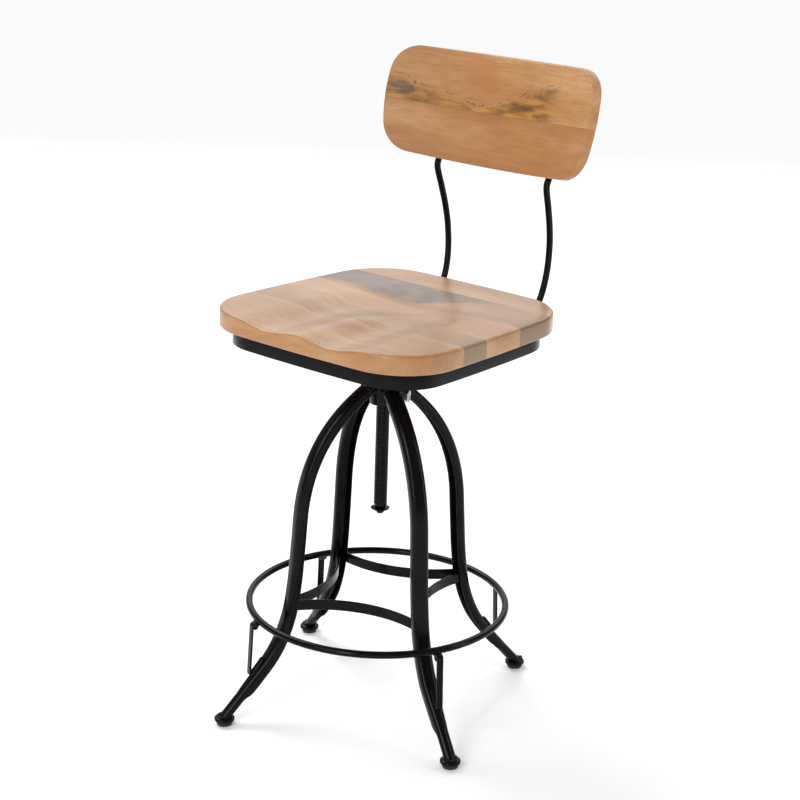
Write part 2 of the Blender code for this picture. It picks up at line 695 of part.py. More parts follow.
def tab_points() -> list:
    """Return the bracket's middle line on the leg's outer face, from the fold upwards."""
    line = leg_line(120)
    lift = LEG_DEPTH / 2 + GAP + BRACKET_THICKNESS / 2
    spots = [point + Vector((-step.z, 0.0, step.x)) * lift for point, step in zip(line, tangents(line))]
    low = next(i for i, spot in enumerate(spots) if spot.z < RING_HEIGHT and spot.x >= BRACKET_FOLD_RADIUS)
    picked = [spots[low]]
    while (spots[low] - picked[0]).length < BRACKET_TAB:
        low -= 1
        picked.append(spots[low])
    return picked


def round_fold(before: Vector, corner: Vector, after: Vector, radius: float, steps: int) -> list:
    """Return the arc that rounds off the corner between two straight runs."""
    first, second = (before - corner).normalized(), (after - corner).normalized()
    half = first.angle(second) / 2
    centre = corner + (first + second).normalized() * (radius / sin(half))
    start = corner + first * (radius / tan(half)) - centre
    end = corner + second * (radius / tan(half)) - centre
    return [centre + start.slerp(end, k / steps) * radius / start.slerp(end, k / steps).length
            for k in range(steps + 1)]


def bracket_line() -> list:
    """Return the middle line of a footrest bracket as (radius, 0, height) points.

    It starts at the free end of the rolled eye, which lies against the ring's outer lower
    quarter, runs down and folds back up the leg.
    """
    eye_radius = BRACKET_EYE / 2 - BRACKET_THICKNESS / 2
    reach = (RING_BAR / 2 + GAP + BRACKET_EYE / 2) / sqrt(2)
    centre = Vector((RING_RADIUS + reach, 0.0, RING_HEIGHT - reach))
    eye = []
    for k in range(9):
        turn = BRACKET_ROLL * (1 - k / 8)
        eye.append(centre + eye_radius * Vector((cos(turn), 0.0, sin(turn))))
    tab = tab_points()
    fold = round_fold(eye[-1], tab[0], tab[2], BRACKET_FOLD, 5)
    return eye + fold + tab[3:]


def bracket_mesh(k: int) -> bmesh.types.BMesh:
    """Return the strap that hooks over the ring and folds back up the leg."""
    line = bracket_line()
    steps = tangents(line)
    half = BRACKET_THICKNESS / 2
    rings = []
    for i, (point, step) in enumerate(zip(line, steps)):
        normal = Vector((-step.z, 0.0, step.x))
        near = point - line[i - 1] if i else step
        far = line[i + 1] - point if i + 1 < len(line) else step
        stretch = 1 / max(0.45, cos(near.angle(far) / 2)) if i and i + 1 < len(line) else 1.0
        wide = BRACKET_WIDTH / 2
        if i == len(line) - 2:
            wide *= 0.8
        if i == len(line) - 1:
            wide *= 0.4
        lift = normal * half * stretch
        rings.append([point + Vector((0, -wide, 0)) - lift, point + Vector((0, wide, 0)) - lift,
                      point + Vector((0, wide, 0)) + lift, point + Vector((0, -wide, 0)) + lift])
    mesh = loft(rings)
    bmesh.ops.transform(mesh, matrix=base_turn(k), verts=mesh.verts)
    return mesh


def ring_mesh() -> bmesh.types.BMesh:
    """Return the round-bar footrest ring."""
    rings = []
    for k in range(RING_STEPS):
        turn = 2 * pi * k / RING_STEPS
        out = Vector((cos(turn), sin(turn), 0.0))
        ring = []
        for i in range(RING_BAR_SIDES):
            a = 2 * pi * i / RING_BAR_SIDES
            height = Vector((0, 0, RING_HEIGHT + RING_BAR / 2 * sin(a)))
            ring.append(out * (RING_RADIUS + RING_BAR / 2 * cos(a)) + height)
        rings.append(ring)
    return loft(rings, closed=True)


# ---------------------------------------------------------------- back rods
def plate_offset() -> float:
    """Distance behind the backrest's middle to the rod's middle line."""
    return BACK_THICKNESS / 2 + GAP + BACK_PLATE_THICKNESS + GAP + ROD_RADIUS


def rod_across(side: int, height: float) -> float:
    """Return a rod's x at a height."""
    return side * (ROD_SPACING / 2 + ROD_SPLAY * (height - SEAT_UNDERSIDE))


def rod_line(side: int) -> list:
    """Return a rod's middle line from its lug, round behind the seat, up the backrest."""
    low = (BAND_TOP + BAND_BOTTOM) / 2
    lug_back = lug_face() + LUG_THICKNESS + GAP
    bend = back_frame(0, -BACK_HEIGHT / 2 - 12 * MM, plate_offset() - 11 * MM)
    profile = [(lug_back, low), (lug_back + 14 * MM, low + 1 * MM), (lug_back + 34 * MM, low + 10 * MM),
               (0.248, 0.602), (0.2575, 0.640), (0.2575, 0.680), (0.252, 0.712), (0.2435, 0.742),
               (bend.y, bend.z)]
    points = [Vector((rod_across(side, z), y, z)) for y, z in profile]
    line = smooth_line(points, 22)
    for up in (0.0, ROD_OVERLAP / 3, 2 * ROD_OVERLAP / 3, ROD_OVERLAP):
        high = up - BACK_HEIGHT / 2 + 4 * MM
        x = rod_across(side, back_frame(0, high, 0).z)
        line.append(back_frame(side * BACK_BEND * turn_to(x), high, plate_offset()))
    return line


def turn_to(x: float) -> float:
    """Return the turn about the backrest's bend that puts a rod at |x|."""
    radius = BACK_BEND + plate_offset()
    return atan2(abs(x), sqrt(radius * radius - x * x))


def rod_mesh(side: int) -> bmesh.types.BMesh:
    """Return one back rod."""
    line = rod_line(side)
    rings = []
    for point, step in zip(line, tangents(line)):
        across = step.cross(Vector((1.0, 0.0, 0.0))).normalized()
        other = step.cross(across)
        rings.append([point + ROD_RADIUS * (across * cos(a) + other * sin(a))
                      for a in (2 * pi * i / 10 for i in range(10))])
    return loft(rings)


def lug_face() -> float:
    """Return the y of the front face of the rod lugs, behind the band."""
    return max(p.y for p in seat_outline(BAND_INSET)) + GAP


def back_plate_mesh(side: int) -> bmesh.types.BMesh:
    """Return the plate between a rod and the backrest."""
    near = BACK_THICKNESS / 2 + GAP
    far = near + BACK_PLATE_THICKNESS
    middle = plate_middle(side)
    rings = []
    for up in (-BACK_PLATE_HEIGHT / 2, BACK_PLATE_HEIGHT / 2):
        ring = []
        for across, depth in ((-1, near), (1, near), (1, far), (-1, far)):
            ring.append(back_frame(middle.x + across * BACK_PLATE_WIDTH / 2, middle.y + up, depth))
        rings.append(ring)
    return loft(rings)


def plate_middle(side: int) -> Vector:
    """Return the middle of a back plate along and up the backrest."""
    up = -BACK_HEIGHT / 2 + 4 * MM + ROD_OVERLAP / 2
    x = rod_across(side, back_frame(0, up, 0).z)
    return Vector((side * BACK_BEND * turn_to(x), up))


def back_screw_frame(side: int, up: float) -> Matrix:
    """Return the frame of a backrest screw: Z runs forward into the board."""
    middle = plate_middle(side)
    across = middle.x - side * (ROD_RADIUS + SCREW_HEAD / 2 + 1.5 * MM)
    deep = BACK_THICKNESS / 2 + 2 * GAP + BACK_PLATE_THICKNESS
    origin = back_frame(across, middle.y + up, deep)
    inward = (back_frame(across, middle.y + up, 0.0) - origin).normalized()
    return along(inward, origin)


# ---------------------------------------------------------------- build
def build() -> None:
    """Build every piece of the stool."""
    clear_scene()
    seat_wood = material("seat_wood", (0.50, 0.32, 0.18), 0.0, 0.45)
    back_wood = material("backrest_wood", (0.52, 0.32, 0.17), 0.0, 0.45)
    black = material("black_enamel", (0.012, 0.012, 0.013), 0.0, 0.35)
    spindle_black = material("spindle_black", (0.03, 0.03, 0.03), 0.6, 0.4)
    zinc = material("zinc", (0.60, 0.60, 0.58), 1.0, 0.35)
    glide_black = material("glide_black", (0.02, 0.02, 0.02), 0.0, 0.6)

    # base
    hub = add_object("hub", tube(BORE_RADIUS, HUB_RADIUS, HUB_BOTTOM, HUB_TOP, 32, 1.5 * MM), black)
    outward = Matrix.Rotation(BASE_YAW, 4, "Z") @ Vector((1, 0, 0))
    lock_axis = Vector((0, 0, LOCK_BOLT_HEIGHT))
    drill(hub, "hub_side_hole", hole(LOCK_BOLT_SHANK / 2 + GAP, HUB_DIAMETER,
                                     along(outward, lock_axis + outward * HUB_RADIUS), 16))
    head_seat = HUB_RADIUS + LOCK_BOLT_STAND_OFF
    add_object("lock_bolt", bolt(LOCK_BOLT_SHANK, head_seat - BORE_RADIUS - 1.0 * MM, LOCK_BOLT_ACROSS_FLATS,
                                 LOCK_BOLT_HEAD, along(outward, lock_axis + outward * head_seat)), zinc)
    for k, (place, brace_place) in enumerate(zip(LEG_PLACES, BRACE_PLACES)):
        add_object(f"leg_{place}", leg_mesh(k), black)
        add_object(f"brace_{brace_place}", brace_mesh(k), black)
        add_object(f"footrest_bracket_{place}", bracket_mesh(k), black)
        foot = base_turn(k) @ Vector((FOOT_RADIUS, 0, 0))
        stand = Matrix.Translation(foot)
        stem = GLIDE_STEM / 2
        bore = outside_radius(stem + GAP, FOOT_SIDES)
        rim = COLLAR_DIAMETER / 2
        add_object(f"foot_collar_{place}", lathe(
            [(bore, COLLAR_BOTTOM), (rim - 1.5 * MM, COLLAR_BOTTOM), (rim, COLLAR_BOTTOM + 1.5 * MM),
             (rim, COLLAR_TOP - 2.5 * MM), (rim - 4 * MM, COLLAR_TOP), (bore, COLLAR_TOP)],
            FOOT_SIDES, stand), black)
        rim = GLIDE_DIAMETER / 2
        add_object(f"foot_glide_{place}", lathe(
            [(0.0, 0.0), (rim - 1.5 * MM, 0.0), (rim, 1.5 * MM), (rim, GLIDE_HEIGHT), (stem, GLIDE_HEIGHT),
             (stem, COLLAR_TOP - 1.0 * MM), (0.0, COLLAR_TOP - 1.0 * MM)], FOOT_SIDES, stand), glide_black)
    add_object("footrest_ring", ring_mesh(), black)

    # lifting screw
    washer_axis = Vector((0, 0, STOP_WASHER_TOP))
    add_object("stop_washer", stop_washer_mesh(), black, washer_axis)
    add_object("spindle", spindle_mesh(), spindle_black)
    below = Matrix.Translation(Vector((0, 0, STOP_WASHER_TOP - STOP_WASHER_THICKNESS - GAP)))
    add_object("stop_bolt", bolt(STOP_BOLT_SHANK, STOP_BOLT_DEPTH, STOP_BOLT_ACROSS_FLATS, STOP_BOLT_HEAD,
                                 below @ Matrix.Rotation(pi, 4, "X")), black)
    add_object("spindle_boss", tube(BORE_RADIUS, BOSS_DIAMETER / 2, BOSS_BOTTOM, SPINDLE_TOP, 28, 1.0 * MM),
               black)

    # seat and its frame
    seat = add_object("seat", seat_mesh(), seat_wood)
    band = add_object("seat_band", band_mesh(), black)
    add_object("top_plate", block(Vector((0, 0, (PLATE_TOP + PLATE_BOTTOM) / 2)),
                                  Vector((PLATE_SIDE, PLATE_SIDE, PLATE_THICKNESS))), black)
    for name, y in (("front", -STRAP_SPACING / 2), ("rear", STRAP_SPACING / 2)):
        strap = add_object(f"cross_strap_{name}", strap_mesh(y), black)
        for side, label in ((-1, "left"), (1, "right")):
            under = Vector((side * SEAT_SCREW_SPACING / 2, y, STRAP_BOTTOM - GAP))
            spot = Matrix.Translation(under)
            bore = SCREW_SHANK / 2 + GAP
            add_object(f"seat_screw_{name}_{label}", wood_screw(spot, SCREW_DEPTH), zinc)
            drill(strap, f"strap_hole_{name}_{label}", hole(bore, 2 * SCREW_DEPTH, spot))
            drill(seat, f"seat_hole_{name}_{label}", hole(bore, 2 * (SCREW_DEPTH + GAP), spot))

    # back rods and backrest
    back = add_object("backrest", backrest_mesh(), back_wood)
    for side, label in ((-1, "left"), (1, "right")):
        add_object(f"back_rod_{label}", rod_mesh(side), black)
        plate = add_object(f"back_plate_{label}", back_plate_mesh(side), black)
        for up, place in ((-BACK_SCREW_SPACING / 2, "lower"), (BACK_SCREW_SPACING / 2, "upper")):
            frame = back_screw_frame(side, up)
            bore = SCREW_SHANK / 2 + GAP
            add_object(f"back_screw_{label}_{place}", wood_screw(frame, BACK_SCREW_DEPTH), zinc)
            drill(plate, f"plate_hole_{label}_{place}", hole(bore, BACK_SCREW_DEPTH, frame))
            drill(back, f"back_hole_{label}_{place}", hole(bore, 2 * (BACK_SCREW_DEPTH + GAP), frame))
        low = (BAND_TOP + BAND_BOTTOM) / 2
        face = lug_face()
        x = rod_across(side, low)
        lug = add_object(f"rod_lug_{label}", block(Vector((x, face + LUG_THICKNESS / 2, low)),
                                                   Vector((LUG_WIDTH, LUG_THICKNESS, LUG_HEIGHT))), black)
        for step, place in ((-1, "outer" if side < 0 else "inner"), (1, "inner" if side < 0 else "outer")):
            at = x + step * LUG_BOLT_SPACING / 2
            forward = along(Vector((0, 1, 0)), Vector((at, face + LUG_THICKNESS + GAP, low)))
            length = LUG_THICKNESS + BAND_WALL + LUG_NUT_HEIGHT + LUG_BOLT_SPARE
            add_object(f"lug_bolt_{label}_{place}", bolt(LUG_BOLT_SHANK, length, LUG_BOLT_ACROSS_FLATS,
                                                         LUG_BOLT_HEAD, forward), zinc)
            inside = along(Vector((0, -1, 0)), Vector((at, nut_face(at), low)))
            add_object(f"lug_nut_{label}_{place}", nut(LUG_BOLT_SHANK / 2 + GAP, LUG_BOLT_ACROSS_FLATS,
                                                       LUG_NUT_HEIGHT, inside), zinc)
            bore = LUG_BOLT_SHANK / 2 + GAP
            drill(lug, f"lug_hole_{label}_{place}", hole(bore, 2 * length, forward))
            drill(band, f"band_hole_{label}_{place}", hole(bore, 2 * length, forward))


def nut_face(x: float) -> float:
    """Return the y where a nut seats inside the band near x."""
    reach = LUG_BOLT_ACROSS_FLATS * 0.6
    inner = seat_outline(BAND_INSET + BAND_WALL)
    best = 1.0
    for near, far in zip(inner, inner[1:] + inner[:1]):
        if near.y < 0 or far.y < 0:
            continue
        for p in (near, far, near.lerp(far, 0.5)):
            if abs(p.x - x) < reach:
                best = min(best, p.y)
        low, high = sorted((near.x, far.x))
        for edge in (x - reach, x + reach):
            if low <= edge <= high and high > low:
                share = (edge - near.x) / (far.x - near.x)
                best = min(best, near.lerp(far, share).y)
    return best - GAP


build()
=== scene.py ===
"""The looks of the screw-lift bar stool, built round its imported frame.

Each sub-assembly is a class: its fields are sizes, its methods build meshes in the frame's
metres, and the Workshop turns them into pieces that ride on the frame's bodies.
"""

import logging
from collections.abc import Iterable
from dataclasses import dataclass, field
from enum import Enum
from functools import partial, reduce
from math import atan2, ceil, copysign, cos, hypot, pi, radians, sin, sqrt, tan

import bmesh
import bpy
from mathutils import Matrix, Vector, noise

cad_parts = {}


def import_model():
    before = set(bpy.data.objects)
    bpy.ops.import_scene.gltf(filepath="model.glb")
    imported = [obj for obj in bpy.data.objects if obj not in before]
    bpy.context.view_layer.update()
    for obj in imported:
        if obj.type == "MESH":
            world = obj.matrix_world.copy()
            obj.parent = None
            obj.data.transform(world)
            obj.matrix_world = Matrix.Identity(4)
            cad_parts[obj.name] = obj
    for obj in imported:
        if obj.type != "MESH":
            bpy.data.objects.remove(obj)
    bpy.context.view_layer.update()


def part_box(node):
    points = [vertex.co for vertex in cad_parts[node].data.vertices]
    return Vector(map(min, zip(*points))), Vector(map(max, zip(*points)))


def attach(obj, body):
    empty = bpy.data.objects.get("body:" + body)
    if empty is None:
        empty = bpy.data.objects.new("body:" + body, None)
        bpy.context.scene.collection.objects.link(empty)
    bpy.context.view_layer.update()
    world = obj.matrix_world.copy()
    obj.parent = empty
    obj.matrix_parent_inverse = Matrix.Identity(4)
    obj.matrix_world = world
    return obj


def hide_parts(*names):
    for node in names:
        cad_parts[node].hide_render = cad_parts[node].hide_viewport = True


LOG = logging.getLogger("bar_stool")
Socket = bpy.types.NodeSocket
Mesh = bmesh.types.BMesh
MM = 0.001
SPINDLE_BORE = 10.5 * MM                    # radius of every bore that the spindle passes
SHEARED_EDGE = 0.6 * MM                     # rounding of cut steel
WELD_STATION = 0.55 * MM                    # between a bead's sections
WELD_RIPPLE = 2.6 * MM                      # between its ripples
WELD_LUMP = 5 * MM                          # length over which a bead swells and thins
WELD_SIDES = 10
WELD_GUIDE = Vector((0.31, 0.45, 0.83))     # a direction that no seam follows


# ------------------------------------------------------------------ names in the frame
class Body(Enum):
    """The frame's moving bodies."""

    BASE = "base"
    CARRIER = "lift_carrier"
    SEAT = "seat_assembly"


class Side(Enum):
    """The sitter's two sides, by the sign of X."""

    LEFT = -1
    RIGHT = 1


LEG_PLACES = ("back_right", "back_left", "front_left", "front_right")
BRACE_PLACES = ("back", "left", "front", "right")


# ------------------------------------------------------------------ shader helpers
def linear(hex_colour: str) -> tuple[float, float, float, float]:
    """Turn an sRGB hex colour into the linear colour that a shader socket takes.

    Args:
        hex_colour: Six hex digits after a hash.

    Returns:
        Linear red, green and blue, and an alpha of one.
    """
    parts = [int(hex_colour[i:i + 2], 16) / 255 for i in (1, 3, 5)]
    made = [c / 12.92 if c <= 0.04045 else ((c + 0.055) / 1.055) ** 2.4 for c in parts]
    return made[0], made[1], made[2], 1.0


def add_node(tree: bpy.types.NodeTree, kind: str, settings: dict | None = None,
             links: dict | None = None) -> bpy.types.Node:
    """Add a shader node with its settings and its incoming links.

    Args:
        tree: The node tree.
        kind: The node's type name without its ShaderNode prefix.
        settings: Values by property name, socket name or socket number.
        links: Output sockets by the name or number of the input they feed.

    Returns:
        The new node.
    """
    node = tree.nodes.new(f"ShaderNode{kind}")
    for name, value in (settings or {}).items():
        if isinstance(name, int) or name in node.inputs:
            node.inputs[name].default_value = value
        else:
            setattr(node, name, value)
    for socket, source in (links or {}).items():
        tree.links.new(source, node.inputs[socket])
    return node


@dataclass(frozen=True)
class Wiring:
    """A material's node tree; most methods add one node and return its output."""

    tree: bpy.types.NodeTree

    def node(self, kind: str, settings: dict | None = None, links: dict | None = None,
             output: int | str = 0) -> Socket:
        """Add a node and return one of its outputs."""
        return add_node(self.tree, kind, settings, links).outputs[output]

    def feed(self, inputs: dict) -> None:
        """Set the shader's inputs by name, each to a number or from a socket."""
        shader = self.tree.nodes["Principled BSDF"]
        for name, term in inputs.items():
            if isinstance(term, float):
                shader.inputs[name].default_value = term
            else:
                self.tree.links.new(term, shader.inputs[name])

    def operate(self, kind: str, operation: str, *terms) -> Socket:
        """Add a Math or VectorMath node whose terms are constants or sockets."""
        fixed = {i: t for i, t in enumerate(terms) if isinstance(t, (int, float, tuple))}
        linked = {i: t for i, t in enumerate(terms) if i not in fixed}
        return self.node(kind, {"operation": operation, **fixed}, linked)

    def math(self, operation: str, *terms) -> Socket:
        """Add a Math node."""
        return self.operate("Math", operation, *terms)

    def vector(self, operation: str, *terms) -> Socket:
        """Add a VectorMath node."""
        return self.operate("VectorMath", operation, *terms)

    def product(self, *terms) -> Socket:
        """Multiply two or more numbers or sockets."""
        return reduce(partial(self.math, "MULTIPLY"), terms)

    def less(self, *terms) -> Socket:
        """Take every later term from the first."""
        return reduce(partial(self.math, "SUBTRACT"), terms)

    def step(self, value: Socket, low: float, high: float) -> Socket:
        """Return a smooth step of `value` from 0 at `low` to 1 at `high`."""
        return self.node("MapRange", {"interpolation_type": "SMOOTHSTEP", "From Min": low,
                                      "From Max": high}, {"Value": value})

    def fade(self, value: Socket, low: float, high: float) -> Socket:
        """Return a smooth step of `value` from 1 at `low` to 0 at `high`."""
        return self.less(1.0, self.step(value, low, high))

    def span(self, value: Socket, low: float, high: float) -> Socket:
        """Spread a value of 0 to 1 over `low` to `high`."""
        return self.node("MapRange", {"To Min": low, "To Max": high}, {"Value": value})

    def relief(self, height: Socket, strength: float, distance: float) -> Socket:
        """Return the normal of a bumped surface."""
        return self.node("Bump", {"Strength": strength, "Distance": distance}, {"Height": height})

    def position(self) -> Socket:
        """Return the Object coordinates, which are the frame's metres."""
        return self.node("TexCoord", output="Object")

    def speckle(self, place: Socket, size: float, detail: float = 2.0) -> Socket:
        """Return noise whose blotches are about `size` metres across."""
        return self.node("TexNoise", {"Scale": 1 / size, "Detail": detail, "Roughness": 0.55},
                         {"Vector": place}, "Fac")

    def ramp(self, source: Socket, stops: list, constant: bool = False) -> Socket:
        """Add a colour ramp.

        Args:
            source: The value that drives the ramp.
            stops: Pairs of position and hex colour or grey value.
            constant: Whether the ramp steps instead of blending.

        Returns:
            The ramp's colour output.
        """
        node = add_node(self.tree, "ValToRGB", links={0: source})
        node.color_ramp.interpolation = "CONSTANT" if constant else "LINEAR"
        elements = node.color_ramp.elements
        while len(elements) < len(stops):
            elements.new(1.0)
        for element, (position, colour) in zip(elements, stops):
            element.position = position
            element.color = linear(colour) if isinstance(colour, str) else (colour, colour, colour, 1.0)
        return node.outputs["Color"]

    def mix(self, factor: Socket | float, first: Socket, second: Socket | str, blend: str = "MIX") -> Socket:
        """Mix two colours, each a hex string or a socket, by a factor of either kind."""
        settings, links = {"data_type": "RGBA", "blend_type": blend}, {}
        for socket, term in ((0, factor), (6, first), (7, second)):
            if isinstance(term, (str, float)):
                settings[socket] = linear(term) if isinstance(term, str) else term
            else:
                links[socket] = term
        return self.node("Mix", settings, links, 2)

    def stain(self, colour: Socket, shade: Socket | str, strength: float, *covers: Socket) -> Socket:
        """Lay a shade over a colour where every cover is open, at a strength."""
        return self.mix(self.product(*covers, strength), colour, shade)


# ------------------------------------------------------------------ finishes
@dataclass(frozen=True)
class Finish:
    """A surface finish: the record's material slot and how the surface looks."""

    name: str
    slot: str

    def dress(self, wiring: Wiring) -> None:
        """Set up the shader; each finish does this in its own way."""

    def material(self) -> bpy.types.Material:
        """Return this finish's material, made the first time that it is asked for."""
        made = bpy.data.materials.get(self.name)
        if made is None:
            made = bpy.data.materials.new(self.name)
            made.use_nodes = True
            self.dress(Wiring(made.node_tree))
        return made


@dataclass(frozen=True)
class Enamel(Finish):
    """Black stoving enamel on steel: deep black, a soft gloss and a faint orange peel."""

    colour: str = "#060607"
    dusty: str = "#0e0e10"
    peel: float = 2.2 * MM
    roughness: float = 0.16

    def dress(self, wiring: Wiring) -> None:
        """Cloud the black slightly, vary its gloss and give it its peel."""
        place = wiring.position()
        clouds = wiring.speckle(place, 38 * MM, 4.0)
        uneven = wiring.speckle(place, 11 * MM, 3.0)
        # The real peel is finer than 1 mm; it is drawn at 2 mm so that it shows.
        wiring.feed({"Base Color": wiring.ramp(clouds, [(0.38, self.colour), (0.72, self.dusty)]),
                     "Roughness": wiring.span(uneven, self.roughness - 0.05, self.roughness + 0.12),
                     "Normal": wiring.relief(wiring.speckle(place, self.peel), 0.12, 0.15 * MM),
                     "Specular IOR Level": 0.17, "IOR": 1.4})


@dataclass(frozen=True)
class PlatedSteel(Finish):
    """Zinc-plated steel: bright grey with a faint warm bloom and fine drawing lines."""

    colour: str = "#b9b8b4"
    bloom: str = "#98958c"

    def dress(self, wiring: Wiring) -> None:
        """Mottle the plating and roughen it unevenly."""
        place = wiring.position()
        mottle = wiring.speckle(place, 3.5 * MM, 4.0)
        wiring.feed({"Base Color": wiring.ramp(mottle, [(0.35, self.bloom), (0.62, self.colour)]),
                     "Metallic": 1.0, "Roughness": wiring.span(mottle, 0.24, 0.46),
                     "Normal": wiring.relief(wiring.speckle(place, 0.7 * MM), 0.15, 0.05 * MM)})


@dataclass(frozen=True)
class BlackedSteel(Finish):
    """Chemically blacked and oiled steel: charcoal metal that is worn brighter in spots."""

    colour: str = "#0d0d0e"
    worn: str = "#2f2f30"

    def dress(self, wiring: Wiring) -> None:
        """Lay the oiled black over the steel and wear it through here and there."""
        wear = wiring.speckle(wiring.position(), 2.6 * MM, 5.0)
        wiring.feed({"Base Color": wiring.ramp(wear, [(0.52, self.colour), (0.74, self.worn)]),
                     "Metallic": 0.5, "Specular IOR Level": 0.25, "Roughness": wiring.span(wear, 0.22, 0.5)})


@dataclass(frozen=True)
class MouldedNylon(Finish):
    """Injection-moulded black nylon: matt, with a fine spark-eroded grain."""

    colour: str = "#141414"
    scuffed: str = "#2a2927"

    def dress(self, wiring: Wiring) -> None:
        """Give the matt black its scuffs and its moulded grain."""
        place = wiring.position()
        scuffs = wiring.speckle(place, 5 * MM, 4.0)
        wiring.feed({"Base Color": wiring.ramp(scuffs, [(0.4, self.colour), (0.75, self.scuffed)]),
                     "Roughness": 0.55,
                     "Normal": wiring.relief(wiring.speckle(place, 0.8 * MM), 0.25, 0.08 * MM)})


@dataclass(frozen=True)
class GluedBoards(Finish):
    """Lacquered mango boards, glued edge to edge with their grain along X.

    The colour is a solid texture, so the board ends show rings and pores where the faces
    show streaks. It reads the "board" attribute: metres along, through and across the grain.
    """

    joints: tuple[float, ...] = ()          # across the grain, from low to high
    tints: tuple[str, ...] = ()             # one per board
    hearts: tuple[float, ...] = ()          # where each board's rings centre, across the grain
    reach: float = 0.25                     # half of what the joints span
    honey: str = "#bd9163"
    amber: str = "#ab7b4a"
    pale: str = "#cfaa80"
    ring_spacing: float = 7 * MM
    ring_depth: float = -70 * MM            # the rings' centre below the board
    waver: float = 46 * MM                  # how far the figure wanders
    pore: str = "#5b3d24"
    glue_line: str = "#6b4a2e"
    glue_width: float = 0.35 * MM
    lacquer: float = 0.3
    coat: float = 0.8
    rings_shown: float = 0.2

    def steps(self, wiring: Wiring, across: Socket, values: tuple) -> Socket:
        """Return a ramp that holds one value on each board."""
        share = wiring.node("MapRange", {"From Min": -self.reach, "From Max": self.reach}, {"Value": across})
        places = [0.0] + [(joint + self.reach) / (2 * self.reach) for joint in self.joints]
        return wiring.ramp(share, list(zip(places, values)), constant=True)

    def dress(self, wiring: Wiring) -> None:
        """Build the wood's colour, figure, pores and lacquer."""
        place = wiring.node("Attribute", {"attribute_name": "board"}, output="Vector")
        along, through, across = add_node(wiring.tree, "SeparateXYZ", links={0: place}).outputs
        heart = self.steps(wiring, across, tuple(0.5 + h for h in self.hearts))
        tint = self.steps(wiring, across, self.tints)
        # Each board is sampled far from the next one, so that no figure runs across a joint.
        apart = wiring.math("ADD", along, wiring.product(heart, 9.0))
        shifted = wiring.node("CombineXYZ", links={0: apart, 1: through, 2: across})

        def stretched(share: float) -> Socket:
            """Return the place with its grain direction drawn out by 1 / share."""
            return wiring.vector("MULTIPLY", shifted, (share, 1.0, 1.0))

        warp = wiring.node("TexNoise", {"Scale": 1 / (70 * MM), "Detail": 2.0},
                           {"Vector": stretched(0.3)}, "Color")
        bend = wiring.vector("MULTIPLY_ADD", warp, (0.0, self.waver, self.waver),
                             (0.0, -self.waver / 2, -self.waver / 2))
        centre = wiring.node("CombineXYZ", {1: -self.ring_depth}, {2: wiring.less(0.5, heart)})
        ringed = wiring.vector("ADD", wiring.vector("ADD", stretched(0.12), bend), centre)
        rings = wiring.node("TexWave", {"wave_type": "RINGS", "rings_direction": "X", "wave_profile": "SAW",
                                        "Scale": pi / 10 / self.ring_spacing, "Distortion": 1.6,
                                        "Detail": 3.0, "Detail Scale": 0.6}, {"Vector": ringed}, "Fac")
        streaks = wiring.speckle(stretched(0.05), 2.2 * MM, 5.0)
        clouds = wiring.speckle(stretched(0.22), 55 * MM, 3.0)
        pores = wiring.speckle(stretched(0.22), 1.1 * MM)
        figure = wiring.speckle(stretched(0.35), 16 * MM, 4.0)

        colour = wiring.ramp(clouds, [(0.32, self.amber), (0.52, self.honey), (0.7, self.pale)])
        colour = wiring.mix(0.62, colour, tint, "MULTIPLY")
        for source, low, high, strength, shade in ((rings, 0.45, 1.0, self.rings_shown, "#8a5a34"),
                                                   (figure, 0.5, 0.75, 0.4, "#a56c42"),
                                                   (streaks, 0.46, 0.7, 0.42, "#8f6540")):
            colour = wiring.stain(colour, shade, strength, wiring.step(source, low, high))
        colour = self.marks(wiring, colour, along, across, shifted)
        specks = wiring.product(wiring.step(pores, 0.63, 0.74), 0.6)
        colour = wiring.mix(specks, colour, self.pore)
        for joint in self.joints:
            line = wiring.math("COMPARE", across, joint, self.glue_width)
            colour = wiring.stain(colour, self.glue_line, 0.45, line)
        height = wiring.less(wiring.product(streaks, 0.4), specks)
        wiring.feed({"Base Color": colour, "Coat Weight": self.coat, "Coat Roughness": self.lacquer,
                     "Roughness": wiring.span(streaks, self.lacquer + 0.16, self.lacquer + 0.3),
                     "Specular IOR Level": 0.25, "Normal": wiring.relief(height, 0.16, 0.12 * MM)})

    def marks(self, wiring: Wiring, colour: Socket, along: Socket, across: Socket, place: Socket) -> Socket:
        """Add the marks that only one piece has; plain boards have none."""
        return colour


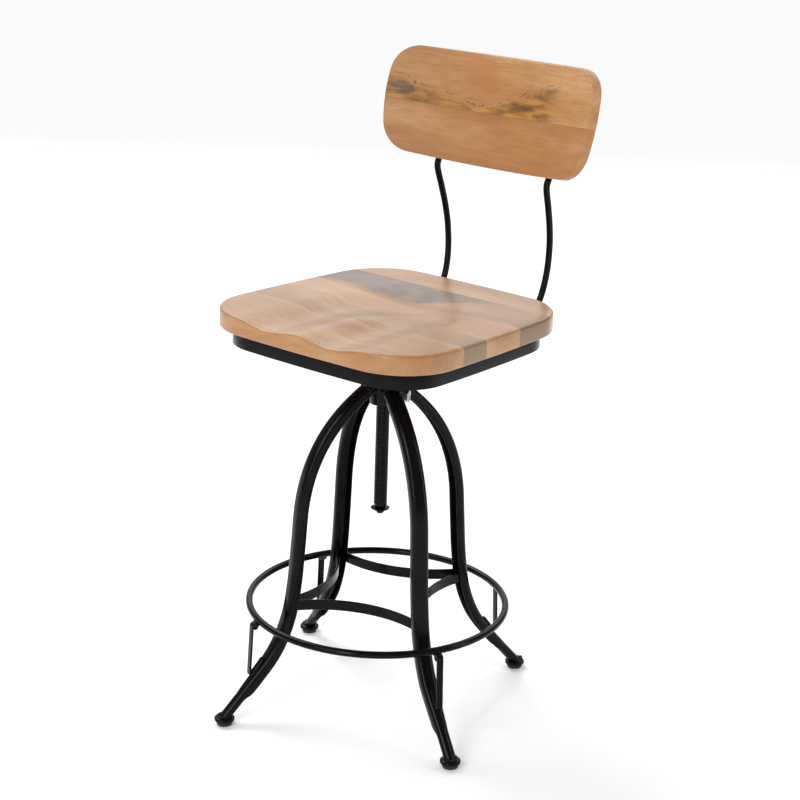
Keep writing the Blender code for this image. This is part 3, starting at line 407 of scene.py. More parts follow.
@dataclass(frozen=True)
class SeatBoards(GluedBoards):
    """The seat's boards: grey-brown heartwood crosses the rear one and tapers to the right."""

    end_shades: tuple[tuple[int, str], ...] = ((0, "#7c6a4c"), (2, "#76553c"))      # board, shade

    def marks(self, wiring: Wiring, colour: Socket, along: Socket, across: Socket, place: Socket) -> Socket:
        """Stain the rear board's heartwood, two board ends and the reddish streak on the pommel."""
        ragged = wiring.math("MULTIPLY_ADD", wiring.speckle(place, 45 * MM, 4.0), 34 * MM, -17 * MM)
        taper = wiring.product(wiring.math("MAXIMUM", along, -20 * MM), 0.62)
        front = wiring.less(across, 82 * MM, wiring.math("ADD", taper, ragged))
        near, far = self.joints[-2:]
        shades = wiring.ramp(wiring.speckle(place, 24 * MM, 4.0), [(0.35, "#4f4034"), (0.65, "#71604f")])
        colour = wiring.stain(colour, shades, 0.82, wiring.step(front, -6 * MM, 7 * MM),
                              wiring.math("LESS_THAN", across, far), wiring.step(across, near, near + 4 * MM))
        for board, shade in self.end_shades:
            low, high = self.joints[board:board + 2]
            colour = wiring.stain(colour, shade, 0.7, wiring.math("GREATER_THAN", across, low),
                                  wiring.math("LESS_THAN", across, high),
                                  wiring.step(along, 172 * MM, 192 * MM))
        streak = wiring.less(wiring.math("MULTIPLY_ADD", along, 0.45, -104 * MM), across)
        near = wiring.math("ADD", wiring.math("ABSOLUTE", streak), ragged)
        middle = wiring.math("ABSOLUTE", wiring.less(along, 5 * MM))
        return wiring.stain(colour, "#9a5f3d", 0.5, wiring.fade(near, 2 * MM, 15 * MM),
                            wiring.fade(middle, 25 * MM, 75 * MM))


@dataclass(frozen=True)
class BackrestBoards(GluedBoards):
    """The backrest's two boards: the upper one is spalted above the joint."""

    apex: float = -30 * MM                  # where the spalting dips lowest, along the board
    left_rise: float = 0.20
    right_rise: float = 0.38

    def marks(self, wiring: Wiring, colour: Socket, along: Socket, across: Socket, place: Socket) -> Socket:
        """Draw the spalted V, its zone lines and the reddish figure over it."""
        run = wiring.less(along, self.apex)
        edge = wiring.math("MAXIMUM", wiring.product(run, self.right_rise),
                           wiring.product(run, -self.left_rise))
        ragged = wiring.math("MULTIPLY_ADD", wiring.speckle(place, 17 * MM, 5.0), 26 * MM, -9 * MM)
        depth = wiring.less(wiring.math("ADD", edge, ragged), across)
        above = wiring.math("GREATER_THAN", across, self.joints[0])
        kept = wiring.product(above, wiring.fade(along, 80 * MM, 130 * MM))
        inside = wiring.product(kept, wiring.step(depth, 0.0, 14 * MM))
        drawn = wiring.vector("MULTIPLY", place, (0.22, 1.0, 1.0))
        yellow = wiring.ramp(wiring.speckle(drawn, 7 * MM, 5.0), [(0.36, "#76502a"), (0.6, "#bb8539")])
        colour = wiring.stain(colour, yellow, 0.88, inside)
        blots = wiring.step(wiring.speckle(drawn, 15 * MM, 3.0), 0.5, 0.66)
        colour = wiring.stain(colour, "#5c4330", 0.75, blots, inside)
        zone = wiring.fade(wiring.math("ABSOLUTE", depth), 0.3 * MM, 1.6 * MM)
        broken = wiring.step(wiring.speckle(place, 9 * MM, 3.0), 0.47, 0.6)
        colour = wiring.stain(colour, "#4b3018", 0.8, zone, broken, kept)
        right = wiring.math("ADD", along, 38 * MM)
        high = wiring.less(across, 52 * MM)
        spread = wiring.math("SQRT", wiring.math("ADD", wiring.math("POWER", right, 2.0),
                                                 wiring.product(wiring.math("POWER", high, 2.0), 1.1)))
        swirl = wiring.math("ADD", spread, wiring.product(ragged, 1.5))
        return wiring.stain(colour, "#b1683c", 0.45, wiring.fade(swirl, 16 * MM, 58 * MM), above)


ENAMEL = Enamel("black_stoving_enamel", "black_enamel")
BLACKED = BlackedSteel("oiled_blacked_steel", "spindle_steel")
ZINC = PlatedSteel("zinc_plated_steel", "zinc")
NYLON = MouldedNylon("moulded_black_nylon", "glide_plastic")
SEAT_WOOD = SeatBoards(
    "lacquered_mango_seat", "seat_wood",
    joints=(-72 * MM, -22 * MM, 59 * MM, 141 * MM),
    tints=("#e6cfae", "#c4b69c", "#ecd6b6", "#c2a88c", "#ead8bf"),
    hearts=(0.10, -0.04, 0.03, 0.16, 0.21))
BACK_WOOD = BackrestBoards(
    "lacquered_mango_backrest", "backrest_wood", joints=(-4 * MM,), tints=("#e6c29a", "#fff0da"),
    hearts=(-0.03, 0.05), ring_spacing=9 * MM, coat=0.35, rings_shown=0.13)


# ------------------------------------------------------------------ mesh helpers
def lofted(rings: list[list[Vector]], closed: bool = False) -> Mesh:
    """Extrude a loop of points through a row of rings.

    Args:
        rings: Loops of points with the same count, in order.
        closed: Whether the last ring joins the first; otherwise both ends are capped.

    Returns:
        The closed mesh.
    """
    mesh = bmesh.new()
    number = mesh.verts.layers.int.new("number")
    bmesh.ops.create_circle(mesh, cap_ends=False, radius=1.0, segments=len(rings[0]))
    for i, (vert, point) in enumerate(zip(mesh.verts, rings[0])):
        vert[number], vert.co = i, point
    edges = mesh.edges[:]
    for ring in rings[1:]:
        grown = bmesh.ops.extrude_edge_only(mesh, edges=edges)["geom"]
        fresh = {item for item in grown if isinstance(item, bmesh.types.BMVert)}
        for vert in fresh:
            vert.co = ring[vert[number]]
        edges = [item for item in grown
                 if isinstance(item, bmesh.types.BMEdge) and fresh.issuperset(item.verts)]
    open_edges = [edge for edge in mesh.edges if edge.is_boundary]
    if closed:
        bmesh.ops.bridge_loops(mesh, edges=open_edges)
    else:
        bmesh.ops.holes_fill(mesh, edges=open_edges, sides=0)
    bmesh.ops.recalc_face_normals(mesh, faces=mesh.faces)
    return mesh


def turned(profile: list[tuple[float, float]], steps: int = 48, frame: Matrix = Matrix()) -> Mesh:
    """Spin a profile round the frame's Z axis.

    Args:
        profile: Points of radius and height; a profile that misses the axis is a closed loop.
        steps: Faces round the turn.
        frame: Where the axis lies.

    Returns:
        The closed mesh.
    """
    mesh = bmesh.new()
    verts = [mesh.verts.new((r, 0.0, z)) for r, z in profile]
    pairs = list(zip(verts, verts[1:]))
    if profile[0][0] > 0.0:
        pairs.append((verts[-1], verts[0]))
    edges = [mesh.edges.new(pair) for pair in pairs]
    bmesh.ops.spin(mesh, geom=verts + edges, cent=(0, 0, 0), axis=(0, 0, 1), angle=2 * pi,
                   steps=steps, use_merge=True)
    bmesh.ops.remove_doubles(mesh, verts=mesh.verts, dist=1e-6)
    bmesh.ops.recalc_face_normals(mesh, faces=mesh.faces)
    bmesh.ops.transform(mesh, matrix=frame, verts=mesh.verts)
    return mesh


def hexed(profile: list[tuple[float, float]], across_flats: float, flats: tuple[float, float],
          frame: Matrix) -> Mesh:
    """Turn a profile and mill six flats on it between two heights."""
    mesh = turned(profile, 72)
    for vert in mesh.verts:
        radius = hypot(vert.co.x, vert.co.y)
        turn = (atan2(vert.co.y, vert.co.x) + pi / 6) % (pi / 3) - pi / 6
        limit = across_flats / 2 / cos(turn)
        if flats[0] - 1e-6 <= vert.co.z <= flats[1] + 1e-6 and radius > limit:
            vert.co.xy *= limit / radius
    bmesh.ops.transform(mesh, matrix=frame, verts=mesh.verts)
    return mesh


def round_corners(mesh: Mesh, axis: int, length: float, radius: float, segments: int) -> None:
    """Round the edges that reach further than a length along one axis."""
    corners = [e for e in mesh.edges if abs((e.verts[0].co - e.verts[1].co)[axis]) > length]
    bmesh.ops.bevel(mesh, geom=corners, offset=radius, segments=segments, profile=0.5, affect="EDGES",
                    material=-1)


def bevelled(mesh: Mesh, width: float, segments: int = 3, angle: float = 40.0) -> Mesh:
    """Bevel every edge of a mesh that is sharper than an angle."""
    edges = [e for e in mesh.edges if e.is_manifold and e.calc_face_angle(0.0) > radians(angle)]
    bmesh.ops.bevel(mesh, geom=edges, offset=width, offset_type="OFFSET", segments=segments,
                    profile=0.5, affect="EDGES", material=-1, clamp_overlap=True)
    return mesh


def boxed(low: Vector, high: Vector) -> Mesh:
    """Return a block between two corners."""
    mesh = bmesh.new()
    middle, size = (low + high) / 2, high - low
    bmesh.ops.create_cube(mesh, size=1.0, matrix=Matrix.Translation(middle) @ Matrix.Diagonal((*size, 1.0)))
    return mesh


def joined(*meshes: Mesh) -> Mesh:
    """Return one mesh that holds several."""
    whole = bpy.data.meshes.new("joining")
    made = bmesh.new()
    for mesh in meshes:
        mesh.to_mesh(whole)
        mesh.free()
        made.from_mesh(whole)
    bpy.data.meshes.remove(whole)
    return made


def along(direction: Vector, origin: Vector) -> Matrix:
    """Return a frame at `origin` whose Z axis is `direction`."""
    return Matrix.Translation(origin) @ direction.to_track_quat("Z", "Y").to_matrix().to_4x4()


def smooth_line(points: list[Vector], steps: int) -> list[Vector]:
    """Return evenly spaced points on a Catmull-Rom curve through `points`."""
    ends = [2 * points[0] - points[1], *points, 2 * points[-1] - points[-2]]
    fine = []
    for a, b, c, d in zip(ends, ends[1:], ends[2:], ends[3:]):
        for k in range(16):
            t = k / 16
            fine.append(0.5 * (2 * b + (c - a) * t + (2 * a - 5 * b + 4 * c - d) * t * t
                               + (3 * b - a - 3 * c + d) * t ** 3))
    fine.append(points[-1])
    return respaced(fine, steps)


def respaced(line: list[Vector], steps: int) -> list[Vector]:
    """Return a polyline with its points moved to even spacing."""
    lengths = [0.0]
    for near, far in zip(line, line[1:]):
        lengths.append(lengths[-1] + (far - near).length)
    made, at = [], 0
    for k in range(steps + 1):
        want = lengths[-1] * k / steps
        while at < len(line) - 2 and lengths[at + 1] < want:
            at += 1
        share = (want - lengths[at]) / max(lengths[at + 1] - lengths[at], 1e-9)
        made.append(line[at].lerp(line[at + 1], share))
    return made


def loop_seam(centre: Vector, across: Vector, up: Vector, steps: int) -> list[Vector]:
    """Return a closed circle of points, from `across` by way of `up`."""
    turns = [2 * pi * k / steps for k in range(steps + 1)]
    return [centre + across * cos(a) + up * sin(a) for a in turns]


def tangents(line: list[Vector]) -> list[Vector]:
    """Return the unit direction of a polyline at each of its points."""
    inner = [far - near for near, far in zip(line, line[2:])]
    return [step.normalized() for step in [line[1] - line[0], *inner, line[-1] - line[-2]]]


def length_of(line: list[Vector]) -> float:
    """Return a polyline's length."""
    return sum((far - near).length for near, far in zip(line, line[1:]))


def round_section(point: Vector, step: Vector, guide: Vector, radius: float, sides: int) -> list[Vector]:
    """Return a circle of points about `point`, square to `step`, that starts from `guide`."""
    across = step.cross(guide).normalized()
    other = step.cross(across)
    turns = [2 * pi * i / sides for i in range(sides)]
    return [point + radius * (across * cos(a) + other * sin(a)) for a in turns]


def bar(line: list[Vector], radius: float, sides: int) -> Mesh:
    """Sweep a round bar along a line that lies about square to X."""
    return lofted([round_section(point, step, Vector((1, 0, 0)), radius, sides)
                   for point, step in zip(line, tangents(line))])


def weld_bead(line: list[Vector], size: float, seed: float, closed: bool = False) -> Mesh:
    """Return a weld bead: a rippled, uneven cord of metal along a seam.

    Args:
        line: The seam.
        size: The bead's mean radius.
        seed: Picks the bead's own unevenness.
        closed: Whether the seam is a loop.

    Returns:
        The closed mesh.
    """
    length = length_of(line)
    count = max(8, ceil(length / WELD_STATION))
    points = respaced(line, count)
    rings = []
    for k, (point, step) in enumerate(zip(points, tangents(points))):
        run = length * k / count
        ripple = abs(sin(pi * run / WELD_RIPPLE))
        uneven = noise.noise(Vector((run / WELD_LUMP, seed, 0.0)))
        radius = size * (0.82 + 0.16 * ripple + 0.22 * uneven)
        if not closed:
            radius *= sqrt(max(0.02, 1 - (2 * k / count - 1) ** 6))
        rings.append(round_section(point, step, WELD_GUIDE, radius, WELD_SIDES))
    return lofted(rings)


def weld_blob(centre: Vector, size: Vector, seed: float) -> Mesh:
    """Return a weld blob: a lumpy ball of metal."""
    mesh = bmesh.new()
    bmesh.ops.create_icosphere(mesh, subdivisions=3, radius=1.0)
    for vert in mesh.verts:
        lump = 1 + 0.3 * noise.noise(vert.co * 1.6 + Vector((seed, 0, 0)))
        vert.co = centre + Vector((vert.co.x * size.x, vert.co.y * size.y, vert.co.z * size.z)) * lump
    return mesh


def bump(distance: float) -> float:
    """Return a smooth hump: 1 at zero, 0 from one outwards."""
    return (1 + cos(pi * min(1.0, abs(distance)))) / 2


def held(share: float) -> float:
    """Return `share` held between 0 and 1."""
    return min(1.0, max(0.0, share))


def eased(share: float) -> float:
    """Return a smooth step of `share` from 0 at zero to 1 at one."""
    return held(share) ** 2 * (3 - 2 * held(share))


def rounded_outline(width: float, depth: float, corner: float, bulge: float, count: int) -> list[Vector]:
    """Return a rectangle with bulged sides and tangent round corners, anticlockwise from +X."""
    cx, cy = width / 2 - corner - bulge, depth / 2 - corner - bulge
    rx, ry = ((half * half + bulge * bulge) / (2 * bulge) for half in (cy, cx))
    ax, ay = atan2(cy, rx - bulge), atan2(cx, ry - bulge)
    arcs = [(Vector((width / 2 - corner - rx, 0.0)), rx + corner, -ax, ax),
            (Vector((cx, cy)), corner, ax, pi / 2 - ay),
            (Vector((0.0, depth / 2 - corner - ry)), ry + corner, pi / 2 - ay, pi / 2 + ay),
            (Vector((-cx, cy)), corner, pi / 2 + ay, pi - ax)]
    half = [centre + radius * Vector((cos(a + (b - a) * k / count), sin(a + (b - a) * k / count)))
            for centre, radius, a, b in arcs for k in range(count)]
    return half + [-point for point in half]


# ------------------------------------------------------------------ workshop
@dataclass
class Workshop:
    """Turns finished meshes into pieces that ride on the frame."""

    axis: Vector                            # foot of the spindle's axis, on the floor
    count: int = 0

    def add(self, name: str, mesh: Mesh, finish: Finish, body: Body,
            replaces: Iterable[str] = (), sharp: float = 38.0) -> bpy.types.Object:
        """Make a piece, dress it and put it on its body.

        Args:
            name: The piece's name.
            mesh: Its mesh, measured from the spindle's axis.
            finish: Its finish.
            body: The body that it rides on.
            replaces: The frame's nodes that it stands for.
            sharp: The angle in degrees over which edges stay sharp.

        Returns:
            The piece's object.
        """
        data = bpy.data.meshes.new(name)
        bmesh.ops.translate(mesh, verts=mesh.verts, vec=self.axis)
        mesh.to_mesh(data)
        mesh.free()
        data.shade_smooth()
        data.set_sharp_from_angle(angle=radians(sharp))
        data.materials.append(finish.material())
        piece = bpy.data.objects.new(name, data)
        bpy.context.scene.collection.objects.link(piece)
        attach(piece, body.value)
        if replaces:
            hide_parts(*replaces)
        self.count += 1
        LOG.info("%-32s %-14s %6d faces", name, body.value, len(data.polygons))
        return piece

    def remake(self, node: str, form: str, mesh: Mesh, body: Body, finish: Finish = ENAMEL) -> None:
        """Make the piece that stands for one of the frame's nodes and is named after it."""
        self.add(f"{node}_{form}", mesh, finish, body, [node])

    def box(self, node: str) -> tuple[Vector, Vector]:
        """Return a frame node's corners, measured from the spindle's axis."""
        low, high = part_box(node)
        return low - self.axis, high - self.axis


# ------------------------------------------------------------------ hardware
def hex_bolt(shank: float, length: float, across_flats: float, head: float, frame: Matrix,
             pitch: float = 1.0 * MM) -> Mesh:
    """Return a hex bolt with a chamfered head and a ribbed shank.

    Args:
        shank: The shank's diameter.
        length: From under the head to the shank's end.
        across_flats: The head's size.
        head: The head's height.
        frame: The head sits on this frame's plane and rises along its Z axis.
        pitch: Spacing of the shank's ribs.

    Returns:
        The closed mesh.
    """
    flat = across_flats / 2
    corner, land = flat / cos(pi / 6), flat * 0.92
    chamfer = [(land + (corner - land) * k / 4, head - (corner - land) * k / 4 * tan(radians(30)))
               for k in range(5)]
    radius, groove = shank / 2, 0.55 * pitch
    ribs, depth = [], 0.4 * MM
    while depth < length - 1.2 * MM:
        ribs += [(radius, -depth), (radius - groove, -depth - pitch / 2)]
        depth += pitch
    profile = [(0.0, head), (land * 0.5, head), *chamfer, (corner, 0.15 * head), (corner, 0.0),
               (radius, 0.0), *ribs, (radius - groove, -length), (0.0, -length)]
    return hexed(profile, across_flats, (0.0, head), frame)


def hex_nut(bore: float, across_flats: float, height: float, frame: Matrix) -> Mesh:
    """Return a hex nut that stands on the frame's plane, chamfered on both faces."""
    flat = across_flats / 2
    corner = flat / cos(pi / 6)
    drop = (corner - flat) * tan(radians(30))
    profile = [(bore, 0.0), (flat, 0.0), (corner, drop), (corner, height - drop), (flat, height),
               (bore, height)]
    return hexed(profile, across_flats, (0.0, height), frame)


def wood_screw(head: float, height: float, shank: float, depth: float, frame: Matrix) -> Mesh:
    """Return a pan-head screw with a cross recess; the head hangs below the frame's plane."""
    rim, core = head / 2, shank / 2
    crown = [(rim * share, -height * (1 - 0.42 * share ** 5))
             for share in (0.15, 0.3, 0.45, 0.6, 0.75, 0.88, 1.0)]
    profile = [(0.0, -height), *crown, (rim, 0.0), (core, 0.0), (core, depth - 2 * core),
               (0.25 * core, depth), (0.0, depth)]
    mesh = turned(profile, 48)
    arm, slot = 0.2 * rim, 0.62 * rim
    for vert in mesh.verts:
        across = min(abs(vert.co.x), abs(vert.co.y))
        if vert.co.z < -0.5 * height and across < arm and hypot(vert.co.x, vert.co.y) < slot:
            vert.co.z += 0.55 * height
    bmesh.ops.transform(mesh, matrix=frame, verts=mesh.verts)
    return mesh


def hoop(inside: float, outside: float, bottom: float, top: float, edge: float) -> list[tuple[float, float]]:
    """Return the profile of a tube whose four rims are rounded off by `edge`."""
    inner, cut = 0.6 * edge, 0.3 * edge
    return [(inside, bottom + inner), (inside + inner, bottom), (outside - edge, bottom),
            (outside - cut, bottom + cut), (outside, bottom + edge), (outside, top - edge),
            (outside - cut, top - cut), (outside - edge, top), (inside + inner, top), (inside, top - inner)]


def helix(crest: float, root: float, pitch: float, bottom: float, top: float, land: float,
          steps: int = 36) -> Mesh:
    """Return a trapezoid thread's ridge, spun upwards by its pitch.

    Args:
        crest: Radius of the ridge's top.
        root: Radius of the core that it stands on.
        pitch: Rise in one turn.
        bottom: Height where the ridge starts.
        top: Height where it ends.
        land: Width of the ridge's top.
        steps: Faces in one turn.

    Returns:
        The closed mesh.
    """
    mesh = bmesh.new()
    wide = land + (crest - root) * 0.54
    sunk = root - 0.2 * MM
    corners = [(sunk, -wide / 2), (crest, -land / 2), (crest, land / 2), (sunk, wide / 2)]
    verts = [mesh.verts.new((r, 0.0, bottom + z)) for r, z in corners]
    edges = [mesh.edges.new(pair) for pair in zip(verts, verts[1:] + verts[:1])]
    count = int((top - bottom) / pitch * steps)
    bmesh.ops.spin(mesh, geom=verts + edges, cent=(0, 0, 0), axis=(0, 0, 1), angle=2 * pi * count / steps,
                   steps=count, dvec=(0, 0, pitch / steps))
    bmesh.ops.holes_fill(mesh, edges=[e for e in mesh.edges if e.is_boundary], sides=0)
    bmesh.ops.recalc_face_normals(mesh, faces=mesh.faces)
    return mesh


def strap_ring(point: Vector, normal: Vector, wide: float, half: float, edge: float) -> list[Vector]:
    """Return a flat strap's section, its corners cut, across Y and a normal in the XZ plane."""
    corners = [(-wide + edge, -half), (wide - edge, -half), (wide, -half + edge), (wide, half - edge),
               (wide - edge, half), (-wide + edge, half), (-wide, half - edge), (-wide, -half + edge)]
    return [point + Vector((0, w, 0)) + normal * n for w, n in corners]


# ------------------------------------------------------------------ seat board
@dataclass
class SeatBoard:
    """The carved seat: a bowl behind, two thigh troughs in front and a pommel between."""

    width: float = 400 * MM
    depth: float = 398 * MM
    thickness: float = 28 * MM
    rim_height: float = 613 * MM
    corner: float = 92 * MM
    bulge: float = 2 * MM
    taper: float = 0.04
    setback: float = 10 * MM
    edge: float = 5 * MM
    lower_edge: float = 2.5 * MM
    trough: tuple[float, float, float] = (8 * MM, 58 * MM, 44 * MM)      # depth, offset, width
    bowl: tuple[float, float, float] = (10 * MM, 118 * MM, 28 * MM)      # depth, radius, set back
    points: int = 28                        # per eighth of the outline
    rings: int = 46

    def outline(self, inset: float) -> list[Vector]:
        """Return the seat's plan, wider at the front, moved in by `inset`."""
        plain = rounded_outline(self.width - 2 * inset, self.depth - 2 * inset, self.corner - inset,
                                self.bulge, self.points)
        return [Vector((p.x * (1 - self.taper * p.y / (self.depth / 2)), p.y + self.setback)) for p in plain]

    def hollow(self, x: float, y: float) -> float:
        """Return how far the carved top lies below the rim."""
        depth, radius, back = self.bowl
        bowl = depth * bump(hypot(x / 1.25, y - self.setback - back) / radius)
        depth, offset, width = self.trough
        forward = eased((self.setback + 60 * MM - y) / (110 * MM))
        thighs = bump((x - offset) / width / 1.5) + bump((x + offset) / width / 1.5)
        troughs = depth * forward * min(1.0, thighs)
        return max(bowl, troughs, 0.8 * (bowl + troughs))

    def mesh(self) -> Mesh:
        """Return the board: underside, rounded rim and carved top, from ring to ring."""
        centre = Vector((0.0, self.setback))
        edge, low = self.outline(self.edge), self.rim_height - self.thickness
        rings = [[centre.lerp(p, share).to_3d() + Vector((0, 0, low)) for p in edge]
                 for share in (0.05, 0.5, 0.9)]
        for turn in (0, 30, 60, 90):
            away = self.lower_edge * (1 - sin(radians(turn)))
            up = self.lower_edge * (1 - cos(radians(turn)))
            rings.append([Vector((p.x, p.y, low + up)) for p in self.outline(away)])
        for turn in range(0, 90, 10):
            drop = self.edge * (1 - sin(radians(turn)))
            plan = self.outline(self.edge * (1 - cos(radians(turn))))
            rings.append([Vector((p.x, p.y, self.rim_height - self.hollow(q.x, q.y) - drop))
                          for p, q in zip(plan, edge)])
        for k in range(self.rings):
            spots = [centre.lerp(p, 1 - k / self.rings) for p in edge]
            rings.append([Vector((q.x, q.y, self.rim_height - self.hollow(q.x, q.y))) for q in spots])
        mesh = lofted(rings)
        layer = mesh.verts.layers.float_vector.new("board")
        for vert in mesh.verts:
            vert[layer] = (vert.co.x, vert.co.z - self.rim_height, vert.co.y)
        return mesh

    def build(self, shop: Workshop) -> None:
        """Make the seat."""
        shop.remake("seat", "board", self.mesh(), Body.SEAT, SEAT_WOOD)


# ------------------------------------------------------------------ backrest
@dataclass
class Backrest:
    """The backrest: a board bent across the back and leaned rearward."""

    width: float = 396 * MM
    height: float = 167 * MM
    thickness: float = 18 * MM
    corner: float = 48 * MM
    bulge: float = 2.5 * MM
    taper: float = 0.015
    bend: float = 490 * MM
    lean: float = radians(13.7)
    centre: Vector = field(default_factory=lambda: Vector((0.0, 250 * MM, 868 * MM)))
    edge: float = 4 * MM
    shy: float = 0.15 * MM                  # keeps the full round rims inside the frame's box
    points: int = 28
    rings: int = 24

    def place(self, across: float, up: float, depth: float) -> Vector:
        """Place a point of the flat board on the bent and leaned one."""
        turn, radius = across / self.bend, self.bend + depth
        local = Vector((radius * sin(turn), radius * cos(turn) - self.bend, up))
        return Matrix.Rotation(-self.lean, 3, "X") @ local + self.centre

    def bent(self, mesh: Mesh) -> Mesh:
        """Bend a mesh whose X runs across, Y behind and Z up the flat board."""
        for vert in mesh.verts:
            vert.co = self.place(vert.co.x, vert.co.z, vert.co.y)
        return mesh

    def ring(self, inset: float, depth: float, share: float = 1.0) -> list[Vector]:
        """Return the board's outline, moved in and scaled, at one depth."""
        inset += self.shy
        plain = rounded_outline(self.width - 2 * inset, self.height - 2 * inset, self.corner - inset,
                                self.bulge, self.points)
        return [Vector((p.x * (1 + self.taper * p.y / (self.height / 2)) * share, depth, p.y * share))
                for p in plain]

    def mesh(self) -> Mesh:
        """Return the board, front face to rim to rear face, marked and then bent."""
        half = self.thickness / 2 - self.shy
        shares = [k / self.rings for k in range(1, self.rings + 1)]
        rims = [(self.edge * (1 - sin(radians(a))), -half + self.edge * (1 - cos(radians(a))))
                for a in range(10, 91, 10)]
        rings = [self.ring(self.edge, -half, share) for share in shares]
        rings += [self.ring(inset, depth) for inset, depth in rims]
        rings += [self.ring(inset, -depth) for inset, depth in reversed(rims)]
        rings += [self.ring(self.edge, half, share) for share in reversed(shares)]
        mesh = lofted(rings)
        layer = mesh.verts.layers.float_vector.new("board")
        for vert in mesh.verts:
            vert[layer] = vert.co
        return self.bent(mesh)

    def build(self, shop: Workshop) -> None:
        """Make the backrest."""
        shop.remake("backrest", "board", self.mesh(), Body.SEAT, BACK_WOOD)


# ------------------------------------------------------------------ back rods
@dataclass
class BackRods:
    """The two bent rods, the plates on them and the screws into the backrest."""

    backrest: Backrest
    rod: float = 10 * MM
    spacing: float = 184 * MM
    splay: float = 0.061
    overlap: float = 118 * MM
    seat_underside: float = 585 * MM
    # the rods between seat and backrest: mm behind the spindle and above the floor
    bow: tuple = ((248, 602), (257.5, 640), (257.5, 680), (252, 712), (243.5, 742))
    plate: Vector = field(default_factory=lambda: Vector((26, 3, 92)) * MM)
    gap: float = 0.3 * MM
    screw_spacing: float = 66 * MM
    # head, its height, shank, depth
    screw: tuple[float, float, float, float] = (9 * MM, 2.6 * MM, 4.5 * MM, 12 * MM)
    screw_clear: float = 1.5 * MM           # from a rod to the screw's head
    overhang: float = 4 * MM                # of the board below a rod's straight length
    weld_runs: tuple = ((0.13, 0.34), (0.62, 0.84))     # shares of the straight length

    @property
    def behind(self) -> float:
        """Distance from the backrest's middle to a rod's middle line."""
        return self.backrest.thickness / 2 + 2 * self.gap + self.plate.y + self.rod / 2

    @property
    def foot(self) -> float:
        """Height on the board, from its middle, where a rod starts to lie along it."""
        return self.overhang - self.backrest.height / 2

    def across(self, side: Side, height: float) -> float:
        """Return a rod's x at a height."""
        return side.value * (self.spacing / 2 + self.splay * (height - self.seat_underside))

    def on_board(self, side: Side, up: float) -> Vector:
        """Return where a rod crosses a height of the backrest: across it and up it."""
        x = self.across(side, self.backrest.place(0, up, 0).z)
        radius = self.backrest.bend + self.behind
        return Vector((side.value * self.backrest.bend * atan2(abs(x), sqrt(radius * radius - x * x)), up))

    def line(self, side: Side, lug_back: float, low: float) -> list[Vector]:
        """Return a rod's middle line from its lug, round behind the seat, up the backrest."""
        foot = self.foot
        bend = self.backrest.place(0, foot - 16 * MM, self.behind - 11 * MM)
        profile = [(lug_back, low), (lug_back + 14 * MM, low + 1 * MM), (lug_back + 34 * MM, low + 10 * MM),
                   *((y * MM, z * MM) for y, z in self.bow),
                   (bend.y, bend.z)]
        points = [Vector((self.across(side, z), y, z)) for y, z in profile]
        for share in (0, 1 / 3, 2 / 3, 1):
            spot = self.on_board(side, foot + share * self.overlap)
            points.append(self.backrest.place(spot.x, spot.y, self.behind))
        return smooth_line(points, 130)

    def plate_mesh(self, side: Side) -> Mesh:
        """Return the plate between a rod and the backrest, its corners and edges rounded."""
        middle = self.on_board(side, self.foot + self.overlap / 2)
        near = self.backrest.thickness / 2 + self.gap
        half = Vector((self.plate.x / 2, 0, self.plate.z / 2))
        centre = Vector((middle.x, near, middle.y))
        mesh = boxed(centre - half, centre + half + Vector((0, self.plate.y, 0)))
        round_corners(mesh, 1, self.plate.y / 2, 4 * MM, 6)
        return self.backrest.bent(bevelled(mesh, 0.5 * MM, 2))

    def build(self, shop: Workshop) -> None:
        """Make the rods with their welds, the plates and the screws."""
        for side in Side:
            label = side.name.lower()
            lug_low, lug_high = shop.box(f"rod_lug_{label}")
            line = self.line(side, lug_high.y + self.gap, (lug_low.z + lug_high.z) / 2)
            shop.remake(f"back_rod_{label}", "bar", bar(line, self.rod / 2, 28), Body.SEAT)
            shop.remake(f"back_plate_{label}", "steel", self.plate_mesh(side), Body.SEAT)
            shop.add(f"back_rod_{label}_welds", self.welds(side, line[0]), ENAMEL, Body.SEAT)
            middle = self.on_board(side, self.foot + self.overlap / 2)
            for place, sign in (("lower", -1), ("upper", 1)):
                x = middle.x - side.value * (self.rod / 2 + self.screw[0] / 2 + self.screw_clear)
                up = middle.y + sign * self.screw_spacing / 2
                origin = self.backrest.place(x, up, self.behind - self.rod / 2)
                frame = along((self.backrest.place(x, up, 0) - origin).normalized(), origin)
                screw = wood_screw(*self.screw, frame)
                shop.remake(f"back_screw_{label}_{place}", "head", screw, Body.SEAT, ZINC)

    def welds(self, side: Side, start: Vector) -> Mesh:
        """Return a rod's beads along its plate and round its end at the lug."""
        beads = []
        for sign in (-1, 1):
            for first, last in self.weld_runs:
                seam = []
                for k in range(7):
                    spot = self.on_board(side, self.foot + (first + (last - first) * k / 6) * self.overlap)
                    seam.append(self.backrest.place(spot.x + sign * 3.4 * MM, spot.y,
                                                    self.behind - self.rod / 2 + 0.9 * MM))
                beads.append(weld_bead(seam, 1.4 * MM, 3.0 * sign + first))
        at = start + Vector((0, 0.6 * MM, 0))
        seam = loop_seam(at, Vector((self.rod / 2, 0, 0)), Vector((0, 0, self.rod / 2)), 24)
        return joined(*beads, weld_bead(seam, 1.2 * MM, 7.0, closed=True))


